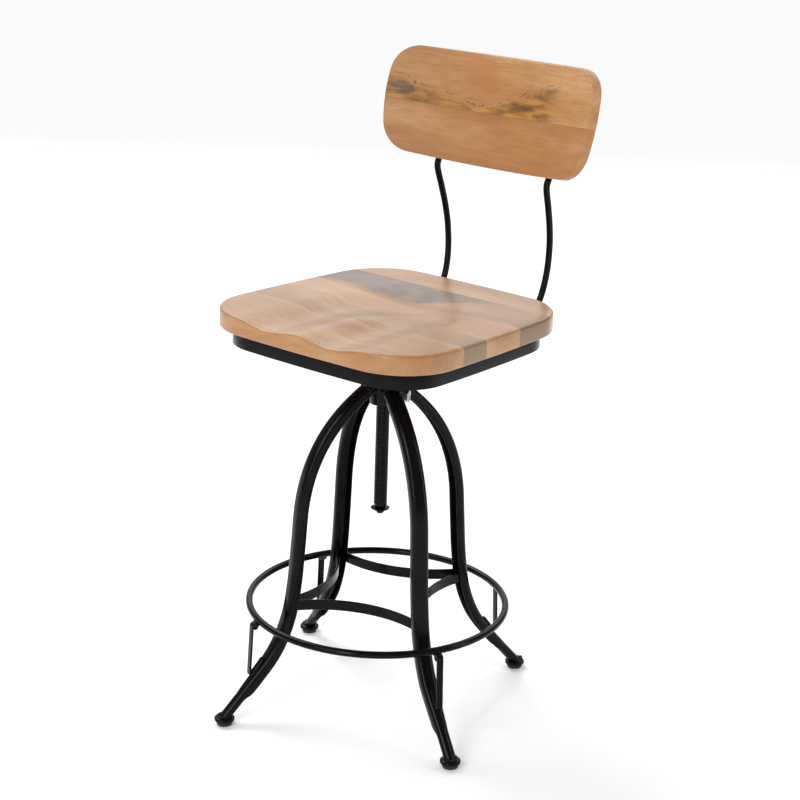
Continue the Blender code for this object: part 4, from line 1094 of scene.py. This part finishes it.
# ------------------------------------------------------------------ seat frame
@dataclass
class SeatFrame:
    """The steel under the seat: band, straps, plate, boss, lugs and their fixings."""

    seat: SeatBoard
    band_inset: float = 18 * MM
    band_wall: float = 3 * MM
    gap: float = 0.3 * MM
    # head, its height, shank, depth
    screw: tuple[float, float, float, float] = (9 * MM, 2.6 * MM, 4.5 * MM, 14 * MM)
    bolt: tuple[float, float, float] = (6 * MM, 10 * MM, 4 * MM)         # shank, across flats, head

    def band_mesh(self, low: float, high: float) -> Mesh:
        """Return the band that runs round under the seat."""
        outer, inner = (self.seat.outline(self.band_inset + wall) for wall in (0.0, self.band_wall))
        levels = [(outer, low), (outer, high), (inner, high), (inner, low)]
        mesh = lofted([[Vector((p.x, p.y, z)) for p in plan] for plan, z in levels], closed=True)
        return bevelled(mesh, SHEARED_EDGE, 3, 60.0)

    def half_width(self, y: float) -> float:
        """Return the half width inside the band at one y, less the fitting gap."""
        inner = self.seat.outline(self.band_inset + self.band_wall)
        for near, far in zip(inner, inner[1:] + inner[:1]):
            if near.x > 0 and near.y <= y < far.y:
                return near.lerp(far, (y - near.y) / (far.y - near.y)).x - self.gap
        return 0.0

    def build(self, shop: Workshop) -> None:
        """Make every piece of the frame."""
        low, high = shop.box("seat_band")
        shop.remake("seat_band", "hoop", self.band_mesh(low.z, high.z), Body.SEAT)
        welds = []
        for place in ("front", "rear"):
            low, high = shop.box(f"cross_strap_{place}")
            mesh = boxed(low, high)
            for vert in mesh.verts:
                vert.co.x = copysign(self.half_width(vert.co.y), vert.co.x)
                if vert.co.z < high.z:
                    sign = copysign(1.0, vert.co.x)
                    corner = Vector((vert.co.x, vert.co.y, low.z))
                    run = Vector((-sign * 0.9 * MM, ((low.y + high.y) / 2 - corner.y) / 2, -0.2 * MM))
                    welds.append(weld_bead([corner, corner + run], 1.5 * MM, corner.y * 100 + sign))
            shop.remake(f"cross_strap_{place}", "bar", bevelled(mesh, SHEARED_EDGE), Body.SEAT)
            for side in Side:
                node = f"seat_screw_{place}_{side.name.lower()}"
                low_screw, high_screw = shop.box(node)
                spot = (low_screw + high_screw) / 2
                frame = Matrix.Translation((spot.x, spot.y, low_screw.z + self.screw[1]))
                shop.remake(node, "head", wood_screw(*self.screw, frame), Body.SEAT, ZINC)
        plate = boxed(*shop.box("top_plate"))
        round_corners(plate, 2, 1 * MM, 9 * MM, 8)
        shop.remake("top_plate", "steel", bevelled(plate, SHEARED_EDGE), Body.SEAT)
        low, high = shop.box("spindle_boss")
        sleeve = turned(hoop(SPINDLE_BORE, high.x, low.z, high.z, 1 * MM), 64)
        shop.remake("spindle_boss", "sleeve", sleeve, Body.SEAT)
        low = shop.box("top_plate")[0]
        reach = high.x + 0.6 * MM
        seam = loop_seam(Vector((0, 0, low.z - 0.4 * MM)), Vector((reach, 0, 0)), Vector((0, reach, 0)), 48)
        welds.append(weld_bead(seam, 1.9 * MM, 11.0, closed=True))
        shop.add("seat_frame_welds", joined(*welds), ENAMEL, Body.SEAT)
        for side in Side:
            self.lug(shop, side)

    def lug(self, shop: Workshop, side: Side) -> None:
        """Make one rod lug with its two bolts and nuts."""
        label = side.name.lower()
        low, high = shop.box(f"rod_lug_{label}")
        shop.remake(f"rod_lug_{label}", "block", bevelled(boxed(low, high), 0.8 * MM), Body.SEAT)
        shank, flats, head = self.bolt
        for place in ("inner", "outer"):
            near, far = shop.box(f"lug_bolt_{label}_{place}")
            middle = (near + far) / 2
            seat_at = far.y - head
            frame = along(Vector((0, 1, 0)), Vector((middle.x, seat_at, middle.z)))
            bolt = hex_bolt(shank, seat_at - near.y, flats, head, frame)
            shop.remake(f"lug_bolt_{label}_{place}", "hex", bolt, Body.SEAT, ZINC)
            near, far = shop.box(f"lug_nut_{label}_{place}")
            frame = along(Vector((0, -1, 0)), Vector((middle.x, far.y, middle.z)))
            nut = hex_nut(shank / 2 + self.gap, flats, far.y - near.y, frame)
            shop.remake(f"lug_nut_{label}_{place}", "hex", nut, Body.SEAT, ZINC)


# ------------------------------------------------------------------ lifting screw
@dataclass
class LiftingScrew:
    """The trapezoid-thread spindle with its stop washer and stop bolt."""

    diameter: float = 20 * MM
    pitch: float = 4 * MM
    thread_depth: float = 1.5 * MM
    thread_top: float = 523 * MM
    land: float = 1.4 * MM
    stop_shank: float = 6 * MM
    stop_flats: float = 10 * MM
    stop_head: float = 8 * MM
    washer_thickness: float = 3 * MM

    def build(self, shop: Workshop) -> None:
        """Make the spindle, the washer and the bolt."""
        low, high = shop.box("spindle")
        crest, root = self.diameter / 2, self.diameter / 2 - self.thread_depth
        core = turned([(0.0, low.z), (root - 1 * MM, low.z), (root, low.z + 1 * MM), (root, self.thread_top),
                       (crest, self.thread_top + 1.5 * MM), (crest, high.z), (0.0, high.z)], 64)
        ridge = helix(crest, root, self.pitch, low.z + 1.6 * MM, self.thread_top, self.land)
        shop.remake("spindle", "screw", joined(core, ridge), Body.SEAT, BLACKED)
        low, high = shop.box("stop_washer")
        flat, bore = 0.65 * self.stop_flats, self.stop_shank / 2 + 0.35 * MM
        rim, thick = high.x, self.washer_thickness
        profile = [(bore, high.z - thick), (flat, high.z - thick), (rim - 0.5 * MM, low.z),
                   (rim, low.z + 0.5 * MM), (rim, low.z + 0.5 * thick), (rim - 0.6 * MM, low.z + 0.6 * thick),
                   (flat, high.z), (bore, high.z)]
        shop.remake("stop_washer", "dish", turned(profile, 64), Body.CARRIER)
        low, high = shop.box("stop_bolt")
        frame = Matrix.Translation((0, 0, low.z + self.stop_head)) @ Matrix.Rotation(pi, 4, "X")
        length = high.z - low.z - self.stop_head
        bolt = hex_bolt(self.stop_shank, length, self.stop_flats, self.stop_head, frame)
        shop.remake("stop_bolt", "hex", bolt, Body.SEAT, BLACKED)


# ------------------------------------------------------------------ base
@dataclass
class Base:
    """The pressed-channel legs, braces, hub, lock bolt and feet."""

    yaw: float = radians(22)
    leg: tuple[float, float, float, float] = (25 * MM, 16 * MM, 2.5 * MM, 8 * MM)   # wide, deep, wall, corner
    toe: tuple[float, float] = (18 * MM, 15 * MM)
    channel_end: float = 50 * MM
    run_out: float = 13 * MM
    narrowing_start: float = 95 * MM        # the leg narrows to the toe from here down
    leg_points: tuple = ((0, 512), (40, 485), (74, 453), (99, 418), (117, 378), (128, 332), (133, 272),
                         (138, 212), (147, 158), (166, 110), (197, 67), (243, 15))
    foot_radius: float = 247 * MM
    brace_thickness: float = 3 * MM
    brace_middle: float = 75 * MM
    brace_entry: float = 8 * MM
    # shank, across flats, head, stand-off
    bolt: tuple[float, float, float, float] = (10 * MM, 17 * MM, 7 * MM, 13 * MM)
    bolt_height: float = 486 * MM
    bolt_pitch: float = 1.5 * MM
    blob_reach: float = 7 * MM              # weld blobs from the toe's middle
    blob: Vector = field(default_factory=lambda: Vector((3.2, 2.8, 2.2)) * MM)
    glide_stem: tuple[float, float] = (4 * MM, 6 * MM)                   # radius, height of the pad
    collar_bore: float = 4.4 * MM
    stations: int = 110

    def turn(self, number: int) -> Matrix:
        """Return the rotation that carries the +X leg position to leg or brace `number`."""
        return Matrix.Rotation(self.yaw + pi / 4 + number * pi / 2, 4, "Z")

    def line(self) -> list[Vector]:
        """Return the middle line of a leg as radius, zero and height."""
        return smooth_line([Vector((r, 0, z)) * MM for r, z in self.leg_points], self.stations)

    def line_at(self, height: float) -> tuple[float, float]:
        """Return the leg line's radius at a height and its slope, radius per height."""
        for upper, lower in zip(self.line(), self.line()[1:]):
            if upper.z >= height > lower.z:
                slope = (upper.x - lower.x) / (upper.z - lower.z)
                return lower.x + slope * (height - lower.z), slope
        return self.foot_radius, 0.0

    def channel(self) -> list[tuple[float, float]]:
        """Return the channel's section as sideways and outward, open on the inward side."""
        wide, deep, wall, corner = self.leg
        half, deep, lip = wide / 2, deep / 2, wall / 2

        def arc(side: float, top: float, radius: float) -> list:
            """Return a corner from the channel's side to its web."""
            return [(-side + radius * (1 - cos(radians(a))), top - radius * (1 - sin(radians(a))))
                    for a in range(0, 91, 15)]

        outer, inner = ([(-half + lip + lip * cos(radians(a)), -deep + lip + lip * sin(radians(a)))
                         for a in turns] for turns in ((-100, -130, -160), (-80, -50, -20)))
        outside = outer + arc(half, deep, corner)
        inside = inner + arc(half - wall, deep - wall, corner - wall)
        return (outside + [(-t, o) for t, o in outside[::-1]] + [(-t, o) for t, o in inside] + inside[::-1])

    def round_toe(self) -> list[tuple[float, float]]:
        """Return the closed toe's section with one point for each point of the channel."""
        half, deep = self.toe[0] / 2, self.toe[1] / 2
        count = len(self.channel()) // 2
        turns = [205 - 230 * i / (count - 1) for i in range(count)]
        turns += [-37 - 106 * i / (count - 1) for i in range(count)]
        outward = (self.leg[1] - self.toe[1]) / 2
        return [(half * cos(radians(a)), deep * sin(radians(a)) + outward) for a in turns]

    def leg_rings(self, hub: float, floor: float) -> list[list[Vector]]:
        """Return a leg's sections from its cope against the hub to its foot on the collar."""
        line, channel, toe = self.line(), self.channel(), self.round_toe()
        steps, rings = tangents(line), []
        for point, step in zip(line, steps):
            outward = Vector((-step.z, 0.0, step.x))
            share = eased((self.channel_end - point.z) / self.run_out)
            fall = self.narrowing_start - self.channel_end + self.run_out
            narrow = 1 - (1 - self.toe[0] / self.leg[0]) * held((self.narrowing_start - point.z) / fall)
            rings.append([point + Vector((0, a[0] * narrow + (b[0] - a[0] * narrow) * share, 0))
                          + outward * (a[1] + (b[1] - a[1]) * share) for a, b in zip(channel, toe)])
        rings = [ring for ring in rings if min(p.x for p in ring) > hub and min(p.z for p in ring) > floor]
        first, last = steps[1], steps[-1]
        cope = [p + first * ((sqrt(hub * hub - p.y * p.y) - p.x) / first.x) for p in rings[0]]
        foot = [p + last * ((floor - p.z) / last.z) for p in rings[-1]]
        return [cope, *rings, foot]

    def brace_mesh(self, low: float, high: float) -> Mesh:
        """Return the bowed strap that runs from inside one channel to inside the next."""
        middle = (low + high) / 2
        radius, slope = self.line_at(middle)
        mouth = radius - self.leg[1] / 2
        entry = Vector((mouth - self.brace_entry, mouth + self.brace_entry)) / sqrt(2)
        rise = entry.y - self.brace_middle
        bow = (entry.x ** 2 + rise ** 2) / (2 * rise)
        web = radius + self.leg[1] / 2 - self.leg[2] - 1.5 * MM
        last = atan2(entry.x, bow - rise) + 0.05
        section = strap_ring(Vector((0, 0, middle)), Vector((0, 0, 1)), self.brace_thickness / 2,
                             (high - low) / 2, SHEARED_EDGE)
        rings = []
        for k in range(-40, 41):
            turn, ring = last * k / 40, []
            for corner in section:
                reach = bow - corner.y
                x, y = reach * sin(turn), self.brace_middle + bow - reach * cos(turn)
                if abs(k) == 40:
                    short = web + slope * (corner.z - middle) - (abs(x) + y) / sqrt(2)
                    ahead = Vector((cos(turn), abs(sin(turn))))
                    ahead *= short * sqrt(2) / (ahead.x + ahead.y)
                    x, y = x + (ahead.x if turn > 0 else -ahead.x), y + ahead.y
                ring.append(Vector((x, y, corner.z)))
            rings.append(ring)
        return lofted(rings)

    def build(self, shop: Workshop) -> None:
        """Make the hub, the bolt, and each leg with its brace, collar and glide."""
        low, high = shop.box("hub")
        hub = high.x
        shop.remake("hub", "sleeve", turned(hoop(SPINDLE_BORE, hub, low.z, high.z, 1.5 * MM), 96), Body.BASE)
        shank, flats, head, stand_off = self.bolt
        out = Matrix.Rotation(self.yaw, 4, "Z") @ Vector((1, 0, 0))
        seat_at = out * (hub + stand_off) + Vector((0, 0, self.bolt_height))
        length = hub + stand_off - SPINDLE_BORE - 1 * MM
        bolt = hex_bolt(shank, length, flats, head, along(out, seat_at), self.bolt_pitch)
        shop.remake("lock_bolt", "hex", bolt, Body.BASE, ZINC)
        for number, place in enumerate(LEG_PLACES):
            self.build_leg(shop, number, place, hub)

    def build_leg(self, shop: Workshop, number: int, place: str, hub: float) -> None:
        """Make one leg and what is welded or fitted to it."""
        turn = self.turn(number)
        low, high = shop.box(f"foot_collar_{place}")
        rings = self.leg_rings(hub - 0.4 * MM, high.z - 1.5 * MM)
        leg = lofted(rings)
        shown = len(rings[0]) // 2
        top = [p + Vector((1.2, 0, 0.6)) * MM for p in rings[1][2:shown - 2]]
        beads = [weld_bead(top, 1.9 * MM, number + 0.3)]
        foot = rings[-1][:shown]
        beads.append(weld_bead([Vector((p.x, p.y, high.z + 0.5 * MM)) for p in foot + foot[:1]], 2.2 * MM,
                               number + 0.7, closed=True))
        for k, angle in enumerate((-0.9, 0.2, 1.4, 2.6)):
            away = Vector((cos(angle + number), sin(angle + number), 0)) * self.blob_reach
            at = sum(foot, Vector()) / len(foot) + away
            at.z = high.z + 1.0 * MM
            beads.append(weld_blob(at, self.blob, number * 4.1 + k))
        for name, mesh, nodes in ((f"leg_{place}_channel", leg, [f"leg_{place}"]),
                                  (f"leg_{place}_welds", joined(*beads), [])):
            bmesh.ops.transform(mesh, matrix=turn, verts=mesh.verts)
            shop.add(name, mesh, ENAMEL, Body.BASE, nodes)
        brace = f"brace_{BRACE_PLACES[number]}"
        near, far = shop.box(brace)
        mesh = self.brace_mesh(near.z, far.z)
        bmesh.ops.transform(mesh, matrix=Matrix.Rotation(-pi / 4, 4, "Z") @ turn, verts=mesh.verts)
        shop.remake(brace, "strap", mesh, Body.BASE)
        stand = Matrix.Translation(turn @ Vector((self.foot_radius, 0, 0)))
        rim, bore = (high.x - low.x) / 2, self.collar_bore
        profile = [(bore, low.z), (rim - 1.5 * MM, low.z), (rim - 0.4 * MM, low.z + 0.4 * MM),
                   (rim, low.z + 1.5 * MM), (rim, high.z - 2.5 * MM), (rim - 0.5 * MM, high.z - 1.6 * MM),
                   (rim - 4 * MM, high.z), (bore, high.z)]
        shop.remake(f"foot_collar_{place}", "cup", turned(profile, 64, stand), Body.BASE)
        low, high = shop.box(f"foot_glide_{place}")
        rim, (stem, top) = (high.x - low.x) / 2, self.glide_stem
        profile = [(0.0, 0.0), (rim - 1.5 * MM, 0.0), (rim - 0.4 * MM, 0.4 * MM), (rim, 1.5 * MM),
                   (rim, top), (stem, top), (stem, high.z), (0.0, high.z)]
        shop.remake(f"foot_glide_{place}", "pad", turned(profile, 64, stand), Body.BASE, NYLON)


# ------------------------------------------------------------------ footrest
@dataclass
class Footrest:
    """The round-bar ring and the straps that hook over it and fold back up the legs."""

    base: Base
    radius: float = 193 * MM
    rod: float = 10.6 * MM
    height: float = 158 * MM
    strap: tuple[float, float] = (10 * MM, 3 * MM)                       # wide, thick
    eye: float = 10.6 * MM
    roll: float = radians(285)
    fold_at: float = 206 * MM
    fold: float = 2.2 * MM
    tab: float = 32 * MM
    gap: float = 0.3 * MM
    bead: float = 1.7 * MM

    def tab_line(self) -> list[Vector]:
        """Return the strap's middle line on the leg's outer face, from the fold upwards."""
        line = self.base.line()
        lift = self.base.leg[1] / 2 + self.gap + self.strap[1] / 2
        spots = [p + Vector((-step.z, 0, step.x)) * lift for p, step in zip(line, tangents(line))]
        at = next(i for i, spot in enumerate(spots) if spot.z < self.height and spot.x >= self.fold_at)
        picked = [spots[at]]
        while (spots[at] - picked[0]).length < self.tab:
            at -= 1
            picked.append(spots[at])
        return picked

    def line(self) -> list[Vector]:
        """Return the strap's whole middle line, from the rolled eye's free end to the tab's."""
        bend = self.eye / 2 - self.strap[1] / 2
        reach = (self.rod / 2 + self.gap + self.eye / 2) / sqrt(2)
        centre = Vector((self.radius + reach, 0, self.height - reach))
        turns = [self.roll * (1 - k / 32) for k in range(33)]
        eye = [centre + bend * Vector((cos(a), 0, sin(a))) for a in turns]
        tab = self.tab_line()
        first, second = (eye[-1] - tab[0]).normalized(), (tab[2] - tab[0]).normalized()
        half = first.angle(second) / 2
        middle = tab[0] + (first + second).normalized() * (self.fold / sin(half))
        start, end = (tab[0] + way * (self.fold / tan(half)) - middle for way in (first, second))
        ways = [start.slerp(end, k / 14) for k in range(15)]
        fold = [middle + way * self.fold / way.length for way in ways]
        return eye + fold + tab[3:]

    def strap_mesh(self) -> Mesh:
        """Return the strap, its tab's end cut round."""
        line = respaced(self.line(), 260)
        length = length_of(line)
        wide, half, rings = self.strap[0] / 2, self.strap[1] / 2, []
        for k, (point, step) in enumerate(zip(line, tangents(line))):
            left = max(length * (1 - k / 260), 0.05 * MM)
            reach = wide * sqrt(1 - (1 - left / wide) ** 2) if left < wide else wide
            normal = Vector((-step.z, 0, step.x))
            rings.append(strap_ring(point, normal, max(reach, 1.2 * MM), half, 0.5 * MM))
        return lofted(rings)

    def beads(self, number: int) -> Mesh:
        """Return the welds that hold a strap to the ring and to its leg."""
        wide = self.strap[0] / 2
        touch = Vector((1, 0, -1)) * (self.rod / 2 + self.gap / 2) / sqrt(2)
        seam = Vector((self.radius, 0, self.height)) + touch
        beads = []
        for sign in (-1, 1):
            notch = seam + sign * Vector((1, 0, 1)) / sqrt(2) * 3.1 * MM
            end = Vector((0, wide + 1 * MM, 0))
            beads.append(weld_bead([notch - end, notch, notch + end], self.bead, number + sign * 0.4))
        tab = self.tab_line()
        inward = [near + (far - near).normalized().cross(Vector((0, 1, 0))) * self.strap[1] / 2
                  for near, far in zip(tab, tab[1:])]
        for sign in (-1, 1):
            side = [p + Vector((0, sign * (wide + 0.5 * MM), 0)) for p in inward[2:-3]]
            beads.append(weld_bead(side, self.bead, number * 2 + sign))
        return joined(*beads)

    def build(self, shop: Workshop) -> None:
        """Make the ring, the straps and the welds."""
        mesh = bmesh.new()
        frame = Matrix.Translation((self.radius, 0, self.height)) @ Matrix.Rotation(pi / 2, 4, "X")
        bmesh.ops.create_circle(mesh, cap_ends=False, radius=self.rod / 2, segments=24, matrix=frame)
        bmesh.ops.spin(mesh, geom=mesh.verts[:] + mesh.edges[:], cent=(0, 0, 0), axis=(0, 0, 1), angle=2 * pi,
                       steps=192, use_merge=True)
        bmesh.ops.recalc_face_normals(mesh, faces=mesh.faces)
        shop.remake("footrest_ring", "bar", mesh, Body.BASE)
        for number, place in enumerate(LEG_PLACES):
            node = f"footrest_bracket_{place}"
            for name, mesh, nodes in ((f"{node}_strap", self.strap_mesh(), [node]),
                                      (f"{node}_welds", self.beads(number), [])):
                bmesh.ops.transform(mesh, matrix=self.base.turn(number), verts=mesh.verts)
                shop.add(name, mesh, ENAMEL, Body.BASE, nodes)


# ------------------------------------------------------------------ studio
@dataclass
class Studio:
    """A pale floor, soft lamps and the camera."""

    azimuth: float = radians(39.9)
    elevation: float = radians(18.0)
    roll: float = radians(1.85)
    lens: float = 85.7
    eye: Vector = field(default_factory=lambda: Vector((1.71447, -2.03050, 1.33470)))
    floor_colour: str = "#ffffff"
    floor_glow: float = 0.05
    sky: float = 0.3

    def build(self) -> None:
        """Put up the floor, the lamps and the camera."""
        scene = bpy.context.scene
        scene.view_settings.view_transform = "Standard"
        data = bpy.data.meshes.new("studio_floor")
        mesh = bmesh.new()
        bmesh.ops.create_grid(mesh, x_segments=1, y_segments=1, size=30.0)
        mesh.to_mesh(data)
        mesh.free()
        floor = bpy.data.objects.new("studio_floor", data)
        scene.collection.objects.link(floor)
        # A matt white table, lit faintly from below: it keeps the soft shadows pale.
        paper = bpy.data.materials.new("white_paper")
        paper.use_nodes = True
        shader = paper.node_tree.nodes["Principled BSDF"]
        shader.inputs["Base Color"].default_value = linear(self.floor_colour)
        shader.inputs["Emission Color"].default_value = linear(self.floor_colour)
        shader.inputs["Emission Strength"].default_value = self.floor_glow
        shader.inputs["Specular IOR Level"].default_value = 0.0
        data.materials.append(paper)

        world = bpy.data.worlds.new("white_studio")
        world.use_nodes = True
        world.node_tree.nodes["Background"].inputs["Strength"].default_value = self.sky
        world.node_tree.nodes["Background"].inputs["Color"].default_value = linear("#ffffff")
        scene.world = world

        back = Vector((sin(self.azimuth), -cos(self.azimuth), 0))
        right = Vector((cos(self.azimuth), sin(self.azimuth), 0))
        middle, up = Vector((0, 0, 0.5)), Vector((0, 0, 1))
        for name, place, strength in (("rear_left_sky", -1.1 * right - 1.0 * back + 2.4 * up, 1.5),
                                      ("rear_right_sky", 1.0 * right - 1.2 * back + 1.9 * up, 0.4),
                                      ("front_left_sky", -1.2 * right + 1.4 * back + 1.7 * up, 0.8)):
            self.lamp(name, place, middle, strength)
        self.lamp("backdrop_softbox", -3.2 * back + 2.4 * up, middle, 50.0, (5.0, 2.6))
        self.lamp("left_strip", -1.0 * right + 2.2 * back + 1.3 * up, middle, 18.0, (0.1, 1.8))
        self.lamp("right_strip", 2.1 * right + 0.5 * back + 1.1 * up, middle, 11.0, (0.1, 1.8))

        out = back * cos(self.elevation) + Vector((0, 0, sin(self.elevation)))
        upward = out.cross(right)
        across = cos(self.roll) * right + sin(self.roll) * upward
        upright = cos(self.roll) * upward - sin(self.roll) * right
        turn = Matrix((across, upright, out)).transposed().to_4x4()
        camera = bpy.data.objects.new("studio_camera", bpy.data.cameras.new("studio_camera"))
        camera.data.lens = self.lens
        camera.data.sensor_width = 36.0
        camera.matrix_world = Matrix.Translation(self.eye) @ turn
        scene.collection.objects.link(camera)
        scene.camera = camera

    @staticmethod
    def lamp(name: str, place: Vector, target: Vector, power: float,
             size: tuple[float, float] | None = None) -> None:
        """Hang a softbox aimed at a point, or a wide soft sun if it has no size.

        Args:
            name: The lamp's name.
            place: Where it hangs, in metres.
            target: The point that it is aimed at.
            power: Watts, or watts per square metre for a sun.
            size: A softbox's width and height in metres.
        """
        light = bpy.data.lights.new(name, "AREA" if size else "SUN")
        light.energy = power
        if size:
            light.shape, light.size, light.size_y = "RECTANGLE", *size
        else:
            light.angle = radians(32)
        lamp = bpy.data.objects.new(name, light)
        lamp.matrix_world = (Matrix.Translation(place)
                             @ (place - target).to_track_quat("Z", "Y").to_matrix().to_4x4())
        bpy.context.scene.collection.objects.link(lamp)


def main() -> None:
    """Build the stool's visual pieces round the frame."""
    logging.basicConfig(level=logging.INFO, format="%(message)s")
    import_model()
    low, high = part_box("hub")
    shop = Workshop(Vector(((low.x + high.x) / 2, (low.y + high.y) / 2, 0.0)))
    seat, backrest, base = SeatBoard(), Backrest(), Base()
    for part in (seat, backrest, BackRods(backrest), SeatFrame(seat), LiftingScrew(), base, Footrest(base)):
        part.build(shop)
    Studio().build()
    LOG.info("%d pieces made", shop.count)


if __name__ == "__main__":
    main()
